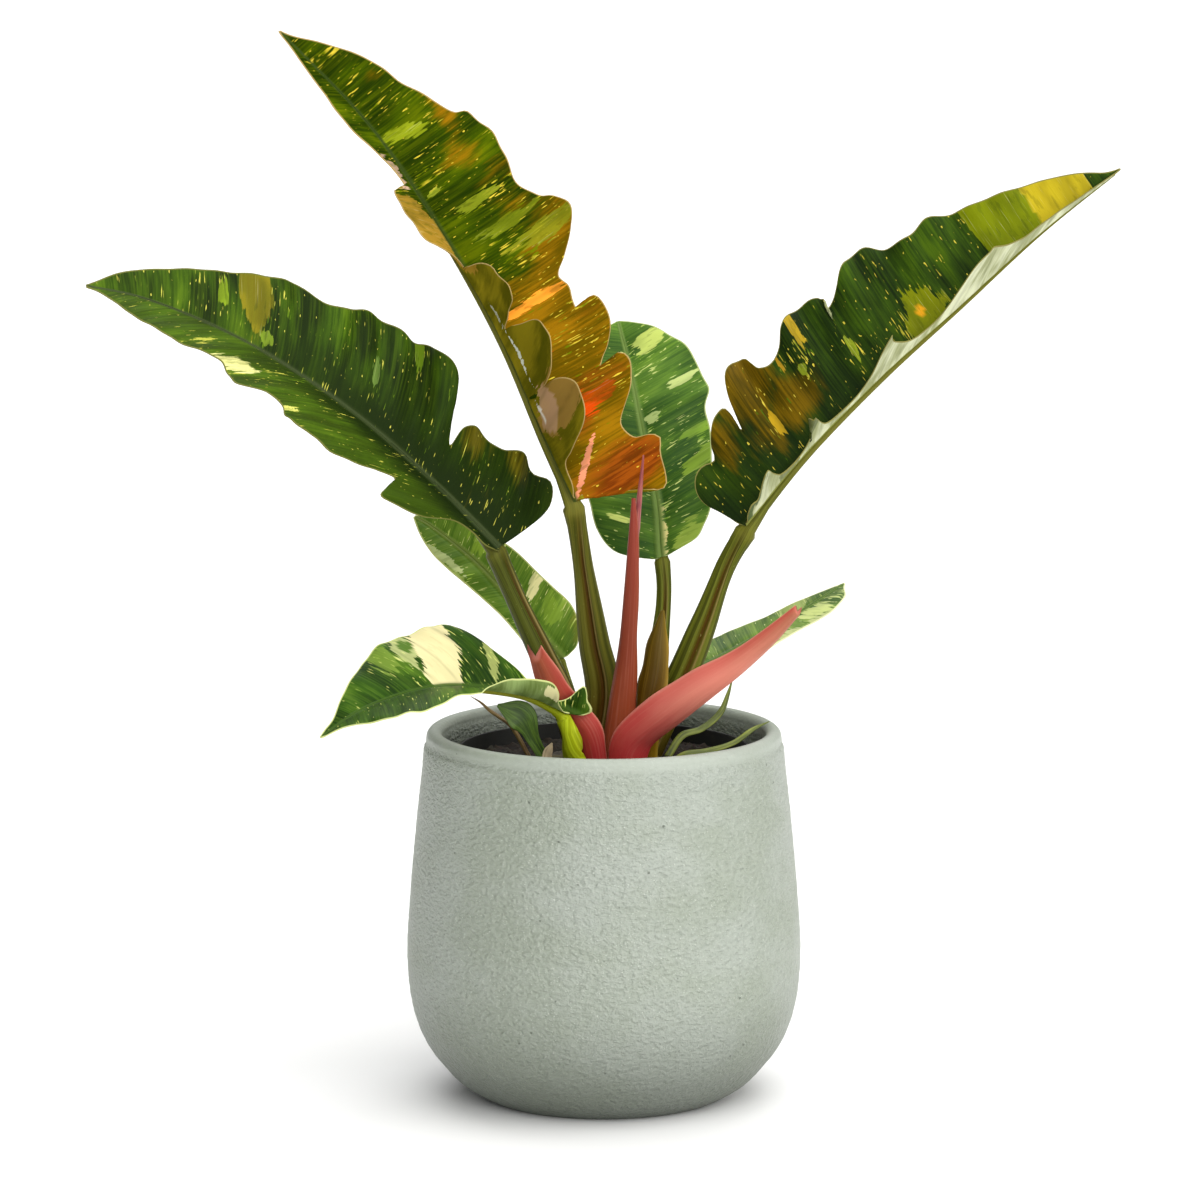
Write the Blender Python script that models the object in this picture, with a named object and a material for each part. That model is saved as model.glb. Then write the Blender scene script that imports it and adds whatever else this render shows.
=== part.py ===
"""Potted philodendron with lobed, variegated leaves, as separate solids.

A glazed outer pot holds a plastic nursery pot full of potting mix. A short
crown stands in the mix and carries seven leaf stalks, each with its blade,
the papery sheaths that wrapped the leaves, one leaf still rolled up, and a
few straps and root strands.

Numbers below are millimetres and degrees; the meshes are made in metres,
+Z up, with the origin at the centre of the pot's foot.
"""

import bpy
import bmesh
import numpy as np

MM = 0.001

# Driving dimensions, in millimetres.
POT_HEIGHT = 152.5
POT_MOUTH_RADIUS = 72.6
POT_FOOT_RADIUS = 50.0
POT_WALL = 6.5
POT_FLOOR = 12.0
COLLAR_HEIGHT = 6.5
COLLAR_FLARE = 0.4
COLLAR_STEP = 0.5
NURSERY_RADIUS = 60.0
NURSERY_FOOT_RADIUS = 44.0
NURSERY_HEIGHT = 135.0
NURSERY_WALL = 1.2
NURSERY_LIP = 2.0
NURSERY_LIP_DEPTH = 8.0
SOIL_TOP = 138.0
CROWN_RADIUS = 23.0
CROWN_TOP = 140.7
CROWN_DEPTH = 22.5
CROWN_BEVEL = 1.0
GAP = 0.3
BLADE_THICKNESS = 0.9
SHEATH_THICKNESS = 1.3
TURNED_STEPS = 40
CROWN_STEPS = 24

# How the leaf surfaces and swept pieces are made and divided.
MIDRIB_SAMPLES = 201
TANGENT_REACH = 0.02
FLATTEST_CURL = 1e-5
CORNER_PULL = 0.49
BLADE_ROWS = 3
BLUNT_TIP = 0.6
VEIN_SWEEP = 0.45
VEIN_EVENNESS = 0.12
CHANNEL_HEIGHT = 0.55
STALK_CLEARANCE = 0.6
STALK_RINGS = 10
STALK_SIDES = 8
RIB_LENGTH = 10.0
RIB_END = 0.4
SHEATH_RINGS = 9
SHEATH_SIDES = 7
STRAP_RINGS = 7
ROUND_SIDES = 6
STRAP_TAPER = (1.0, 1.0, 0.9, 0.4)
SHARP_EDGE = 50.0
MERGE_DISTANCE = 0.00005

# The rim of the pot, from its inner edge over the top to its outer edge:
# (share of the wall's thickness outwards, drop below the top).
POT_RIM = ((0.03, 2.2), (0.18, 0.6), (0.52, 0.0), (0.85, 0.6), (1.0, 2.4))

# Where the pot's floor rises to its wall: (radius, height above the floor).
FLOOR_CURVE = ((54.0, 0.0), (61.5, 3.5), (66.5, 10.0))

# The belly of the pot: (radius, height) from the foot up to the collar.
POT_BELLY = (
    (53.9, 2.5),
    (60.6, 7.0),
    (66.6, 13.5),
    (72.0, 20.5),
    (76.6, 30.0),
    (79.6, 42.0),
    (80.9, 60.0),
    (79.5, 85.0),
    (76.8, 115.0),
    (74.4, 137.0),
)

# Each leaf blade: its midrib from stalk to tip; the direction its upper face
# looks, at stations along the midrib; the fold of each half at those
# stations, as (station, rise from flat, curl per 10 mm); and the margin of
# each half laid flat, as (distance along the midrib, distance from it).
LEAVES = {
    "left": dict(
        midrib=((-43, -4, 228), (-67, -14, 254), (-100, -25, 285), (-142, -37, 315), (-182, -48, 334),
               (-205, -55, 340)),
        facing=((0.0, -0.05, -0.72, 0.70), (0.5, -0.10, -0.72, 0.69), (1.0, -0.10, -0.80, 0.60)),
        left_fold=((0.0, 24, -2), (0.5, 28, -2), (1.0, 20, -2)),
        right_fold=((0.0, 8, -3), (0.5, 10, -4), (1.0, 6, -2)),
        left=((-1, 2), (7, 6), (14, 6), (24, 9), (40, 23), (51, 28), (60, 29), (57, 17), (66, 21), (80, 29),
               (102, 31), (112, 32), (117, 24), (124, 24), (139, 28), (147, 20), (168, 18), (188, 12), (202, 2)),
        right=((-1, 2), (-6, 16), (-9, 31), (-4, 40), (4, 37), (16, 38), (23, 33), (28, 32), (36, 33),
               (42, 28), (43, 17), (48, 25), (57, 45), (66, 51), (72, 47), (78, 43), (90, 44), (99, 44),
               (108, 36), (118, 34), (127, 36), (136, 32), (150, 27), (164, 21), (184, 13), (195, 8), (203, 3)),
        columns=24,
        stalk=((-10, -2), (-16, -1, 164), (-24, 0, 182), (-32, 0, 200), (-38, -1, 215)),
        stalk_width=(8.5, 9.5, 8.0, 7.0),
        colour=(0.055, 0.130, 0.030),
    ),
    "top": dict(
        midrib=((-12, -4, 246), (-24, 1, 271), (-42, 12, 311), (-67, 26, 354), (-96, 42, 395), (-134, 62, 433)),
        facing=((0.0, 0.25, -0.90, 0.35), (0.5, 0.20, -0.90, 0.40), (1.0, 0.15, -0.90, 0.40)),
        left_fold=((0.0, 92, 0), (0.2, 90, 0), (0.4, 86, 0), (0.5, 62, 0), (0.6, 52, 0), (1.0, 50, 0)),
        right_fold=((0.0, 10, -3), (0.5, 8, -4), (1.0, 4, -3)),
        left=((2, 3), (8, 14), (17, 26), (28, 38), (40, 40), (46, 31), (52, 41), (62, 46), (71, 38), (78, 27),
               (83, 38), (92, 41), (101, 35), (108, 28), (120, 33), (138, 27), (148, 18), (160, 12), (172, 20),
               (188, 17), (208, 10), (226, 3)),
        right=((2, 4), (-3, 19), (-8, 34), (-6, 41), (3, 41), (13, 45), (14, 38), (20, 32), (28, 37), (42, 45),
               (51, 44), (50, 33), (55, 42), (63, 47), (71, 47), (75, 42), (72, 34), (80, 36), (88, 35),
               (94, 42), (102, 50), (111, 53), (117, 51), (120, 45), (131, 40), (142, 41), (154, 42),
               (163, 39), (165, 33), (172, 29), (186, 23), (196, 21), (208, 16), (221, 9), (230, 3)),
        columns=26,
        stalk=((-4, 12), (1, 12, 166), (-2, 11, 186), (-6, 7, 215), (-9, 3, 234)),
        stalk_width=(10.0, 12.5, 11.0, 9.0),
        colour=(0.160, 0.110, 0.020),
    ),
    "right": dict(
        midrib=((58, 0, 236), (80, 8, 262), (113, 21, 294), (146, 35, 322), (180, 49, 351), (214, 63, 376)),
        facing=((0.0, -0.35, -0.85, 0.35), (0.5, -0.30, -0.85, 0.42), (1.0, -0.25, -0.85, 0.42)),
        left_fold=((0.0, 12, -4), (0.5, 10, -4), (1.0, 4, -3)),
        right_fold=((0.0, 84, 0), (0.5, 80, 0), (1.0, 76, 0)),
        left=((-1, 2), (-3, 12), (-3, 20), (0, 29), (6, 32), (13, 31), (20, 36), (29, 41), (33, 39), (32, 34),
               (38, 43), (45, 53), (51, 54), (53, 44), (58, 38), (66, 40), (75, 47), (85, 50), (92, 46),
               (91, 39), (100, 43), (110, 49), (121, 50), (127, 43), (136, 38), (148, 39), (158, 33),
               (170, 27), (185, 21), (197, 15), (208, 8), (214, 3)),
        right=((1, 3), (4, 11), (11, 18), (20, 22), (28, 13), (36, 14), (44, 27), (50, 27), (58, 20), (68, 16),
               (76, 23), (85, 27), (96, 21), (107, 13), (118, 20), (130, 28), (144, 34), (158, 22), (172, 15),
               (184, 11), (196, 7), (210, 3)),
        columns=26,
        stalk=((18, 7), (26, 7, 160), (33, 7, 175), (41, 7, 195), (50, 6, 219)),
        stalk_width=(9.0, 11.0, 9.5, 7.0),
        colour=(0.080, 0.120, 0.020),
    ),
    "back": dict(
        midrib=((24, 48, 216), (22, 57, 239), (16, 72, 266), (11, 86, 290), (6, 97, 309)),
        facing=((0.0, -0.10, -0.93, 0.30), (1.0, 0.00, -0.90, 0.40)),
        left_fold=((0.0, 14, -6), (1.0, 6, -6)),
        right_fold=((0.0, 12, -6), (1.0, 6, -5)),
        left=((-1, 2), (0, 9), (4, 20), (13, 26), (29, 28), (47, 29), (64, 29), (78, 26), (91, 22), (100, 15),
               (105, 6)),
        right=((0, 2), (3, 9), (7, 16), (12, 19), (18, 22), (32, 25), (49, 28), (61, 28), (69, 31), (78, 29),
               (88, 26), (95, 20), (101, 14), (105, 6)),
        columns=14,
        stalk=((8, 17), (20, 25, 168), (24, 37, 190), (25, 45, 204)),
        stalk_width=(6.5, 7.0, 6.5, 5.0),
        colour=(0.075, 0.200, 0.050),
    ),
    "rear_left": dict(
        midrib=((-18, 36, 175), (-35, 50, 193), (-52, 64, 210), (-73, 82, 224), (-80, 88, 227)),
        facing=((0.0, -0.20, -0.75, 0.60), (1.0, -0.20, -0.80, 0.50)),
        left_fold=((0.0, 20, -4), (1.0, 12, -4)),
        right_fold=((0.0, 10, -5), (1.0, 5, -4)),
        left=((0, 2), (4, 7), (13, 8), (30, 8), (47, 10), (62, 11), (75, 10), (88, 6), (95, 2)),
        right=((-1, 2), (0, 9), (9, 16), (16, 18), (27, 17), (38, 16), (50, 15), (62, 13), (75, 12), (88, 7),
               (95, 2)),
        columns=12,
        stalk=((-12, 14), (-12, 16, 155), (-14, 24, 164)),
        stalk_width=(5.0, 5.0, 4.5, 3.5),
        colour=(0.120, 0.240, 0.045),
    ),
    "low_left": dict(
        midrib=((-15, -30, 164), (-30, -40, 173), (-50, -51, 178), (-65, -60, 180), (-81, -69, 178),
               (-97, -78, 173), (-112, -86, 164)),
        facing=((0.0, -0.10, -0.45, 0.89), (0.5, -0.15, -0.40, 0.90), (1.0, -0.10, -0.35, 0.90)),
        left_fold=((0.0, 20, -4), (0.5, 22, -4), (1.0, 18, -4)),
        right_fold=((0.0, 26, -5), (0.5, 28, -6), (1.0, 14, -5)),
        left=((0, 2), (5, 10), (14, 18), (24, 24), (36, 24), (46, 22), (58, 22), (68, 25), (80, 27), (92, 25),
               (102, 16), (110, 5), (115, 2)),
        right=((0, 2), (9, 4), (19, 6), (25, 12), (32, 19), (37, 25), (39, 33), (42, 39), (48, 39), (56, 34),
               (66, 31), (76, 28), (88, 20), (101, 10), (109, 4), (115, 2)),
        columns=16,
        stalk=((-14, -16), (-14, -23, 150)),
        stalk_width=(6.0, 6.0, 5.5, 5.0),
        colour=(0.120, 0.220, 0.050),
    ),
    "low_right": dict(
        midrib=((41, 30, 172), (59, 42, 180), (78, 53, 189), (101, 66, 202)),
        facing=((0.0, -0.20, -0.60, 0.78), (1.0, -0.20, -0.60, 0.78)),
        left_fold=((0.0, -35, -4), (1.0, -40, -4)),
        right_fold=((0.0, 20, -4), (1.0, 20, -4)),
        left=((0, 2), (5, 7), (12, 10), (22, 11), (35, 11), (48, 10), (62, 6), (73, 2)),
        right=((0, 3), (3, 14), (12, 16), (22, 13), (34, 12), (46, 12), (60, 13), (70, 9), (74, 3)),
        columns=10,
        stalk=((15, 17), (21, 20, 153), (31, 25, 163)),
        stalk_width=(4.5, 5.0, 4.5, 3.5),
        colour=(0.110, 0.220, 0.050),
    ),
}

# Papery sheaths: path from the crown up, widths along it, how far round the
# section wraps, and the direction its closed back looks.
SHEATHS = {
    "cataphyll_centre": dict(
        path=((6, -2), (7, -4, 160), (9, -6, 181), (11, -8, 207), (12, -9, 231), (12, -10, 249)),
        widths=(13.0, 12.0, 9.0, 8.0, 6.5, 1.6),
        wrap=230,
        back=(0.0, -1.0, 0.0),
        colour=(0.420, 0.110, 0.100),
    ),
    "cataphyll_right": dict(
        path=((10, -14), (14, -17, 153), (26, -23, 165), (39, -30, 175), (53, -38, 185), (66, -46, 197),
              (77, -52, 210)),
        widths=(13.0, 17.0, 19.0, 18.0, 15.0, 10.0, 2.0),
        wrap=190,
        back=(0.2, -0.6, -0.75),
        colour=(0.480, 0.115, 0.110),
    ),
    "cataphyll_left": dict(
        path=((-3, -15), (-6, -18, 155), (-14, -22, 166), (-21, -28, 177), (-27, -34, 190)),
        widths=(10.0, 12.0, 11.0, 9.0, 2.0),
        wrap=190,
        back=(-0.3, -0.7, -0.6),
        colour=(0.480, 0.130, 0.120),
    ),
    "cataphyll_olive": dict(
        path=((18, -4), (19, -3, 165), (20, -1, 177), (21, 1, 189), (24, 2, 201)),
        widths=(8.0, 9.5, 10.5, 8.0, 1.4),
        wrap=200,
        back=(0.3, -0.9, 0.0),
        colour=(0.220, 0.180, 0.035),
    ),
}

# Thin flat or round pieces: path, width, thickness and colour.
STRAPS = {
    "bract_green": dict(
        path=((-18, -24, 141), (-22, -27, 146), (-30, -31, 155), (-36, -33, 163), (-42, -34, 168)),
        width=7.0, thickness=1.2, flat=(0.0, -1.0, 0.3), colour=(0.130, 0.240, 0.045),
    ),
    "dry_scale": dict(
        path=((-22, -33, 141), (-23, -34, 147), (-21, -37, 153)),
        width=5.0, thickness=0.9, flat=(0.0, -1.0, 0.2), colour=(0.520, 0.430, 0.300),
    ),
    "strap_kinked": dict(
        path=((26, -4, 141), (32, 1, 149), (40, 6, 151), (48, 11, 157), (51, 13, 164), (53, 13, 171)),
        width=4.0, thickness=1.4, flat=(0.4, -0.5, 0.7), colour=(0.230, 0.270, 0.060),
    ),
    "strap_low": dict(
        path=((28, -14, 141), (33, -13, 145), (42, -9, 148), (53, -4, 151), (61, 2, 153.5), (68, 9, 153.5)),
        width=4.0, thickness=1.4, flat=(0.1, -0.5, 0.9), colour=(0.260, 0.290, 0.070),
    ),
    "root_strand": dict(
        path=((-30, 1, 139), (-38, 6, 152), (-43, 11, 155), (-47, 15, 157), (-51, 18, 160), (-55, 20, 162)),
        width=1.8, thickness=1.8, flat=(0.5, -0.8, 0.0), colour=(0.180, 0.110, 0.050),
    ),
}

NEW_LEAF_PATH = ((7, 1), (7.5, -1, 165), (10, -3.5, 190), (12, -5.5, 222), (14, -6, 245), (16, -6, 266))
NEW_LEAF_RADII = (2.6, 2.6, 2.2, 1.9, 1.5, 0.5)


def clear_scene():
    """Removes every object, so the model starts from nothing."""
    for obj in list(bpy.data.objects):
        bpy.data.objects.remove(obj, do_unlink=True)


def material(name, colour, roughness=0.5, metallic=0.0):
    """A plain Principled BSDF material."""
    made = bpy.data.materials.new(name)
    made.use_nodes = True
    shader = made.node_tree.nodes["Principled BSDF"]
    shader.inputs["Base Color"].default_value = (*colour, 1.0)
    shader.inputs["Roughness"].default_value = roughness
    shader.inputs["Metallic"].default_value = metallic
    return made


def add_object(name, points, edges, faces, finish):
    """Makes one object from points in millimetres."""
    mesh = bpy.data.meshes.new(name)
    mesh.from_pydata((np.asarray(points, float) * MM).tolist(), edges, faces)
    mesh.materials.append(finish)
    obj = bpy.data.objects.new(name, mesh)
    bpy.context.scene.collection.objects.link(obj)
    return obj


def smooth_path(points, count):
    """Samples a centripetal Catmull-Rom spline through the points."""
    knots = np.asarray(points, float)
    knots = np.vstack([2 * knots[0] - knots[1], knots, 2 * knots[-1] - knots[-2]])
    spans = np.maximum(np.linalg.norm(np.diff(knots, axis=0), axis=1) ** 0.5, 1e-9)
    times = np.concatenate([[0.0], np.cumsum(spans)])
    at = np.linspace(times[1], times[-2], count)
    i = np.clip(np.searchsorted(times, at, side="right") - 1, 1, len(knots) - 3)

    def mix(low, high, first, second):
        share = ((at - low) / (high - low))[:, None]
        return first * (1 - share) + second * share

    t0, t1, t2, t3 = times[i - 1], times[i], times[i + 1], times[i + 2]
    a1 = mix(t0, t1, knots[i - 1], knots[i])
    a2 = mix(t1, t2, knots[i], knots[i + 1])
    a3 = mix(t2, t3, knots[i + 1], knots[i + 2])
    b1 = mix(t0, t2, a1, a2)
    b2 = mix(t1, t3, a2, a3)
    return mix(t1, t2, b1, b2)


def unit(vectors):
    """Scales vectors to length one."""
    vectors = np.asarray(vectors, float)
    return vectors / np.linalg.norm(vectors, axis=-1, keepdims=True)


class Blade:
    """A leaf blade: a flat outline wrapped on a curved, folded surface."""

    def __init__(self, leaf):
        self.line = smooth_path(leaf["midrib"], MIDRIB_SAMPLES)
        steps = np.linalg.norm(np.diff(self.line, axis=0), axis=1)
        self.distance = np.concatenate([[0.0], np.cumsum(steps)])
        self.length = self.distance[-1]
        self.facing = np.array(leaf["facing"], float)
        self.folds = {1: np.array(leaf["left_fold"], float), -1: np.array(leaf["right_fold"], float)}
        self.margins = {1: leaf["left"], -1: leaf["right"]}

    def on_line(self, along):
        """Point of the midrib at a distance along it."""
        return np.stack([np.interp(along, self.distance, self.line[:, k]) for k in range(3)], -1)

    def frame(self, along):
        """Midrib point, forward direction, upper-face normal and left direction."""
        inside = np.clip(along, 0.0, self.length)
        step = TANGENT_REACH * self.length
        ahead = self.on_line(np.clip(inside + step, 0.0, self.length))
        behind = self.on_line(np.clip(inside - step, 0.0, self.length))
        forward = unit(ahead - behind)
        point = self.on_line(inside) + forward * (along - inside)[..., None]
        station = inside / self.length
        look = [np.interp(station, self.facing[:, 0], self.facing[:, axis]) for axis in (1, 2, 3)]
        look = np.stack(look, -1)
        normal = unit(look - (look * forward).sum(-1, keepdims=True) * forward)
        return point, forward, normal, np.cross(normal, forward)

    def place(self, side, along, out):
        """Point of the folded blade for a flat place (along, out).

        Out from the midrib the surface starts at the rise angle and turns by
        the curl angle per 10 mm, so it is a circular arc across the leaf.
        """
        point, _, normal, left = self.frame(along)
        fold = self.folds[side]
        station = np.clip(along, 0.0, self.length) / self.length
        rise = np.radians(np.interp(station, fold[:, 0], fold[:, 1]))
        curl = np.radians(np.interp(station, fold[:, 0], fold[:, 2])) / 10.0
        curl = np.where(np.abs(curl) < FLATTEST_CURL, FLATTEST_CURL, curl)
        sideways = (np.sin(rise + curl * out) - np.sin(rise)) / curl
        upwards = (np.cos(rise) - np.cos(rise + curl * out)) / curl
        return point + side * sideways[..., None] * left + upwards[..., None] * normal

    def margin_points(self, side, columns):
        """Flat margin points, evenly spread, moved to the outline's own corners where close."""
        margin = np.array([*self.margins[side], (self.length, BLUNT_TIP)], float)
        walked = np.concatenate([[0.0], np.cumsum(np.linalg.norm(np.diff(margin, axis=0), axis=1))])
        at = np.linspace(0.0, walked[-1], columns)
        nearest = walked[np.abs(walked[None, :] - at[:, None]).argmin(1)]
        at = np.where(np.abs(nearest - at) < CORNER_PULL * at[1], nearest, at)
        return np.interp(at, walked, margin[:, 0]), np.interp(at, walked, margin[:, 1])

    def sheet(self, columns, rows):
        """Grid of points over the blade: left margin, midrib, right margin.

        Column k runs along a side vein: it leaves the midrib at a place that
        both halves share, and sweeps forward to the margin point of each half.
        """
        edges = {side: self.margin_points(side, columns) for side in (1, -1)}
        even = np.linspace(0.0, self.length, columns)
        roots = []
        for along, out in edges.values():
            swept = np.clip(along - VEIN_SWEEP * out, 0.0, self.length)
            roots.append(np.maximum.accumulate(swept))
        root = (1 - VEIN_EVENNESS) * np.mean(roots, axis=0) + VEIN_EVENNESS * even
        share = np.linspace(0.0, 1.0, rows + 1)
        grids = {}
        for side, (along, out) in edges.items():
            flat_along = root[:, None] + (along - root)[:, None] * share
            grids[side] = self.place(side, flat_along, out[:, None] * share)
        return np.concatenate([grids[1][:, :0:-1], grids[-1]], axis=1)


def grid_faces(rows, columns):
    """Corner numbers of the squares of a grid of points."""
    first = (np.arange(rows - 1)[:, None] * columns + np.arange(columns - 1)).ravel()
    return np.stack([first, first + columns, first + columns + 1, first + 1], -1).tolist()


def add_blade(name, leaf):
    """Adds a leaf blade: a folded sheet with an even thickness."""
    sheet = Blade(leaf).sheet(leaf["columns"], BLADE_ROWS)
    faces = grid_faces(*sheet.shape[:2])
    finish = material(name + "_leaf", leaf["colour"], 0.4)
    obj = add_object(name, sheet.reshape(-1, 3), [], faces, finish)
    obj.data.shade_smooth()
    solid = obj.modifiers.new("thickness", "SOLIDIFY")
    solid.thickness = BLADE_THICKNESS * MM
    solid.offset = 0.0


def ring_frames(path, up, flat_foot):
    """Sideways and upward directions at each point of a path."""
    forward = unit(np.gradient(path, axis=0))
    if flat_foot:
        forward[0] = (0.0, 0.0, 1.0)
    sideways = unit(np.cross(np.broadcast_to(up, forward.shape), forward))
    return sideways, np.cross(forward, sideways)


def add_sweep(name, path, section, sizes, up, finish, flat_foot=True):
    """Carries a closed section along a path, with its ends capped.

    Point = path + width * section_x * sideways + depth * section_y * upward.
    """
    sideways, upward = ring_frames(path, np.asarray(up, float), flat_foot)
    wide, deep = np.broadcast_to(np.asarray(sizes, float), (2, len(path)))
    rings = path[:, None] + (wide[:, None] * section[:, 0])[..., None] * sideways[:, None]
    rings = rings + (deep[:, None] * section[:, 1])[..., None] * upward[:, None]
    count = len(section)
    shape = bmesh.new()
    loops = [[shape.verts.new(point) for point in ring * MM] for ring in rings]
    for low, high in zip(loops[:-1], loops[1:]):
        for k in range(count):
            shape.faces.new((low[k], low[(k + 1) % count], high[(k + 1) % count], high[k]))
    shape.faces.new(loops[0][::-1])
    shape.faces.new(loops[-1])
    bmesh.ops.recalc_face_normals(shape, faces=shape.faces)
    mesh = bpy.data.meshes.new(name)
    shape.to_mesh(mesh)
    shape.free()
    mesh.materials.append(finish)
    mesh.shade_smooth()
    mesh.set_sharp_from_angle(angle=np.radians(SHARP_EDGE))
    obj = bpy.data.objects.new(name, mesh)
    bpy.context.scene.collection.objects.link(obj)


def foot_point(x, y):
    """Where a piece stands: just above the crown, or above the soil beside it."""
    on_crown = np.hypot(x, y) < CROWN_RADIUS
    return (x, y, (CROWN_TOP if on_crown else SOIL_TOP) + GAP)


def spread(values, count):
    """Values given at even steps, read at more even steps."""
    return np.interp(np.linspace(0, 1, count), np.linspace(0, 1, len(values)), values)


def stalk_section():
    """Leaf-stalk section of unit half width: round below, a shallow channel above."""
    turn = np.radians((np.arange(STALK_SIDES) + 0.5) * 360 / STALK_SIDES)
    y = np.where(np.sin(turn) > 0, CHANNEL_HEIGHT * np.sin(turn), np.sin(turn))
    return np.stack([np.cos(turn), y], -1)


def add_stalk(name, leaf, finish):
    """Adds a leaf stalk that ends as a tapering rib under the start of the midrib."""
    blade = Blade(leaf)
    start, _, normal, _ = (part[0] for part in blade.frame(np.array([0.0])))
    last = leaf["stalk_width"][-1]
    half = last / 2
    below = CHANNEL_HEIGHT * half + BLADE_THICKNESS / 2 + GAP + STALK_CLEARANCE
    joint = start - normal * below
    rib = blade.frame(np.array([RIB_LENGTH]))
    end = rib[0][0] - rib[2][0] * (below - 0.5 * half)
    points = [foot_point(*leaf["stalk"][0]), *leaf["stalk"][1:], joint, end]
    path = smooth_path(points, STALK_RINGS)
    widths = spread((*leaf["stalk_width"], last, RIB_END * last), STALK_RINGS) / 2
    add_sweep(name, path, stalk_section(), (widths, widths), normal, finish)


def sheath_section(wrap, inner):
    """Crescent of unit outer radius and given inner radius, open upwards."""
    turn = np.radians(np.linspace(-wrap / 2, wrap / 2, SHEATH_SIDES) - 90)
    outer = np.stack([np.cos(turn), np.sin(turn)], -1)
    return np.concatenate([outer, outer[::-1] * inner])


def add_sheath(name, sheath):
    """Adds a papery sheath: a tapering gutter round a leaf stalk or bud."""
    points = [foot_point(*sheath["path"][0]), *sheath["path"][1:]]
    path = smooth_path(points, SHEATH_RINGS)
    half = spread(sheath["widths"], SHEATH_RINGS) / 2
    widest = max(sheath["widths"]) / 2
    section = sheath_section(sheath["wrap"], 1 - SHEATH_THICKNESS / widest)
    finish = material(name + "_sheath", sheath["colour"], 0.45)
    add_sweep(name, path, section, (half, half), -np.asarray(sheath["back"]), finish)


def round_section(sides):
    """A round section of unit radius."""
    turn = np.radians(np.arange(sides) * 360 / sides)
    return np.stack([np.cos(turn), np.sin(turn)], -1)


def add_strap(name, strap):
    """Adds a thin strap or strand that tapers to its end."""
    path = smooth_path([foot_point(*strap["path"][0][:2]), *strap["path"][1:]], STRAP_RINGS)
    taper = spread(STRAP_TAPER, STRAP_RINGS)
    sizes = (taper * strap["width"] / 2, taper * strap["thickness"] / 2)
    finish = material(name + "_fibre", strap["colour"], 0.7)
    add_sweep(name, path, round_section(ROUND_SIDES), sizes, strap["flat"], finish)


def turned(name, profile, finish, steps=TURNED_STEPS):
    """Turns a profile of (radius, height) points round the upright axis."""
    points = [(radius, 0.0, height) for radius, height in profile]
    edges = [(k, k + 1) for k in range(len(points) - 1)]
    obj = add_object(name, points, edges, [], finish)
    screw = obj.modifiers.new("turn", "SCREW")
    screw.steps = steps
    screw.render_steps = steps
    screw.use_merge_vertices = True
    screw.merge_threshold = MERGE_DISTANCE
    screw.use_smooth_shade = True


def add_outer_pot():
    """Round-bellied pot: inner floor, inner wall, rim, collar, belly and flat foot."""
    collar_base = POT_HEIGHT - COLLAR_HEIGHT
    collar_radius = POT_MOUTH_RADIUS + COLLAR_FLARE
    floor = [(0.0, POT_FLOOR), *((radius, POT_FLOOR + rise) for radius, rise in FLOOR_CURVE)]
    inside = [(radius - POT_WALL, height) for radius, height in POT_BELLY if height > floor[-1][1] + 5]
    rim = [(POT_MOUTH_RADIUS - POT_WALL * (1 - share), POT_HEIGHT - drop) for share, drop in POT_RIM]
    collar = [(collar_radius, collar_base), (collar_radius + COLLAR_STEP, collar_base - 0.8)]
    outside = [*POT_BELLY[::-1], (POT_FOOT_RADIUS, 0.0), (0.0, 0.0)]
    glaze = material("sage_glaze", (0.37, 0.44, 0.38), 0.6)
    turned("outer_pot", [*floor, *inside, *rim, *collar, *outside], glaze)


def nursery_radius(height):
    """Outer radius of the nursery pot's wall below its lip."""
    share = (height - POT_FLOOR - GAP) / (NURSERY_HEIGHT - NURSERY_LIP_DEPTH)
    return NURSERY_FOOT_RADIUS + share * (NURSERY_RADIUS - NURSERY_LIP - NURSERY_FOOT_RADIUS)


def add_nursery_pot():
    """Thin plastic pot with a wider lip, standing on the outer pot's floor."""
    foot = POT_FLOOR + GAP
    top = foot + NURSERY_HEIGHT
    lip_base = top - NURSERY_LIP_DEPTH
    inner_floor = foot + NURSERY_WALL
    profile = [
        (0.0, inner_floor),
        (nursery_radius(inner_floor) - NURSERY_WALL, inner_floor),
        (nursery_radius(lip_base) - NURSERY_WALL, lip_base),
        (NURSERY_RADIUS - NURSERY_WALL, lip_base + NURSERY_LIP),
        (NURSERY_RADIUS - NURSERY_WALL, top),
        (NURSERY_RADIUS, top),
        (NURSERY_RADIUS, lip_base),
        (nursery_radius(lip_base), lip_base),
        (nursery_radius(foot), foot),
        (0.0, foot),
    ]
    turned("nursery_pot", profile, material("black_plastic", (0.02, 0.02, 0.02), 0.5))


def add_soil():
    """Potting mix filling the nursery pot, with a socket for the crown."""
    base = POT_FLOOR + GAP + NURSERY_WALL + GAP
    clear = NURSERY_WALL + GAP
    socket = CROWN_RADIUS + GAP
    socket_floor = CROWN_TOP - CROWN_DEPTH - GAP
    profile = [
        (0.0, socket_floor),
        (socket, socket_floor),
        (socket, SOIL_TOP),
        (nursery_radius(SOIL_TOP) - clear, SOIL_TOP),
        (nursery_radius(base) - clear, base),
        (0.0, base),
    ]
    turned("soil", profile, material("potting_mix", (0.035, 0.022, 0.014), 0.95))


def add_crown():
    """Short rootstock that carries every stalk and sheath."""
    base = CROWN_TOP - CROWN_DEPTH
    profile = [
        (0.0, CROWN_TOP),
        (CROWN_RADIUS - CROWN_BEVEL, CROWN_TOP),
        (CROWN_RADIUS, CROWN_TOP - CROWN_BEVEL),
        (CROWN_RADIUS, base),
        (0.0, base),
    ]
    turned("crown", profile, material("rootstock", (0.150, 0.130, 0.050), 0.7), CROWN_STEPS)


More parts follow.
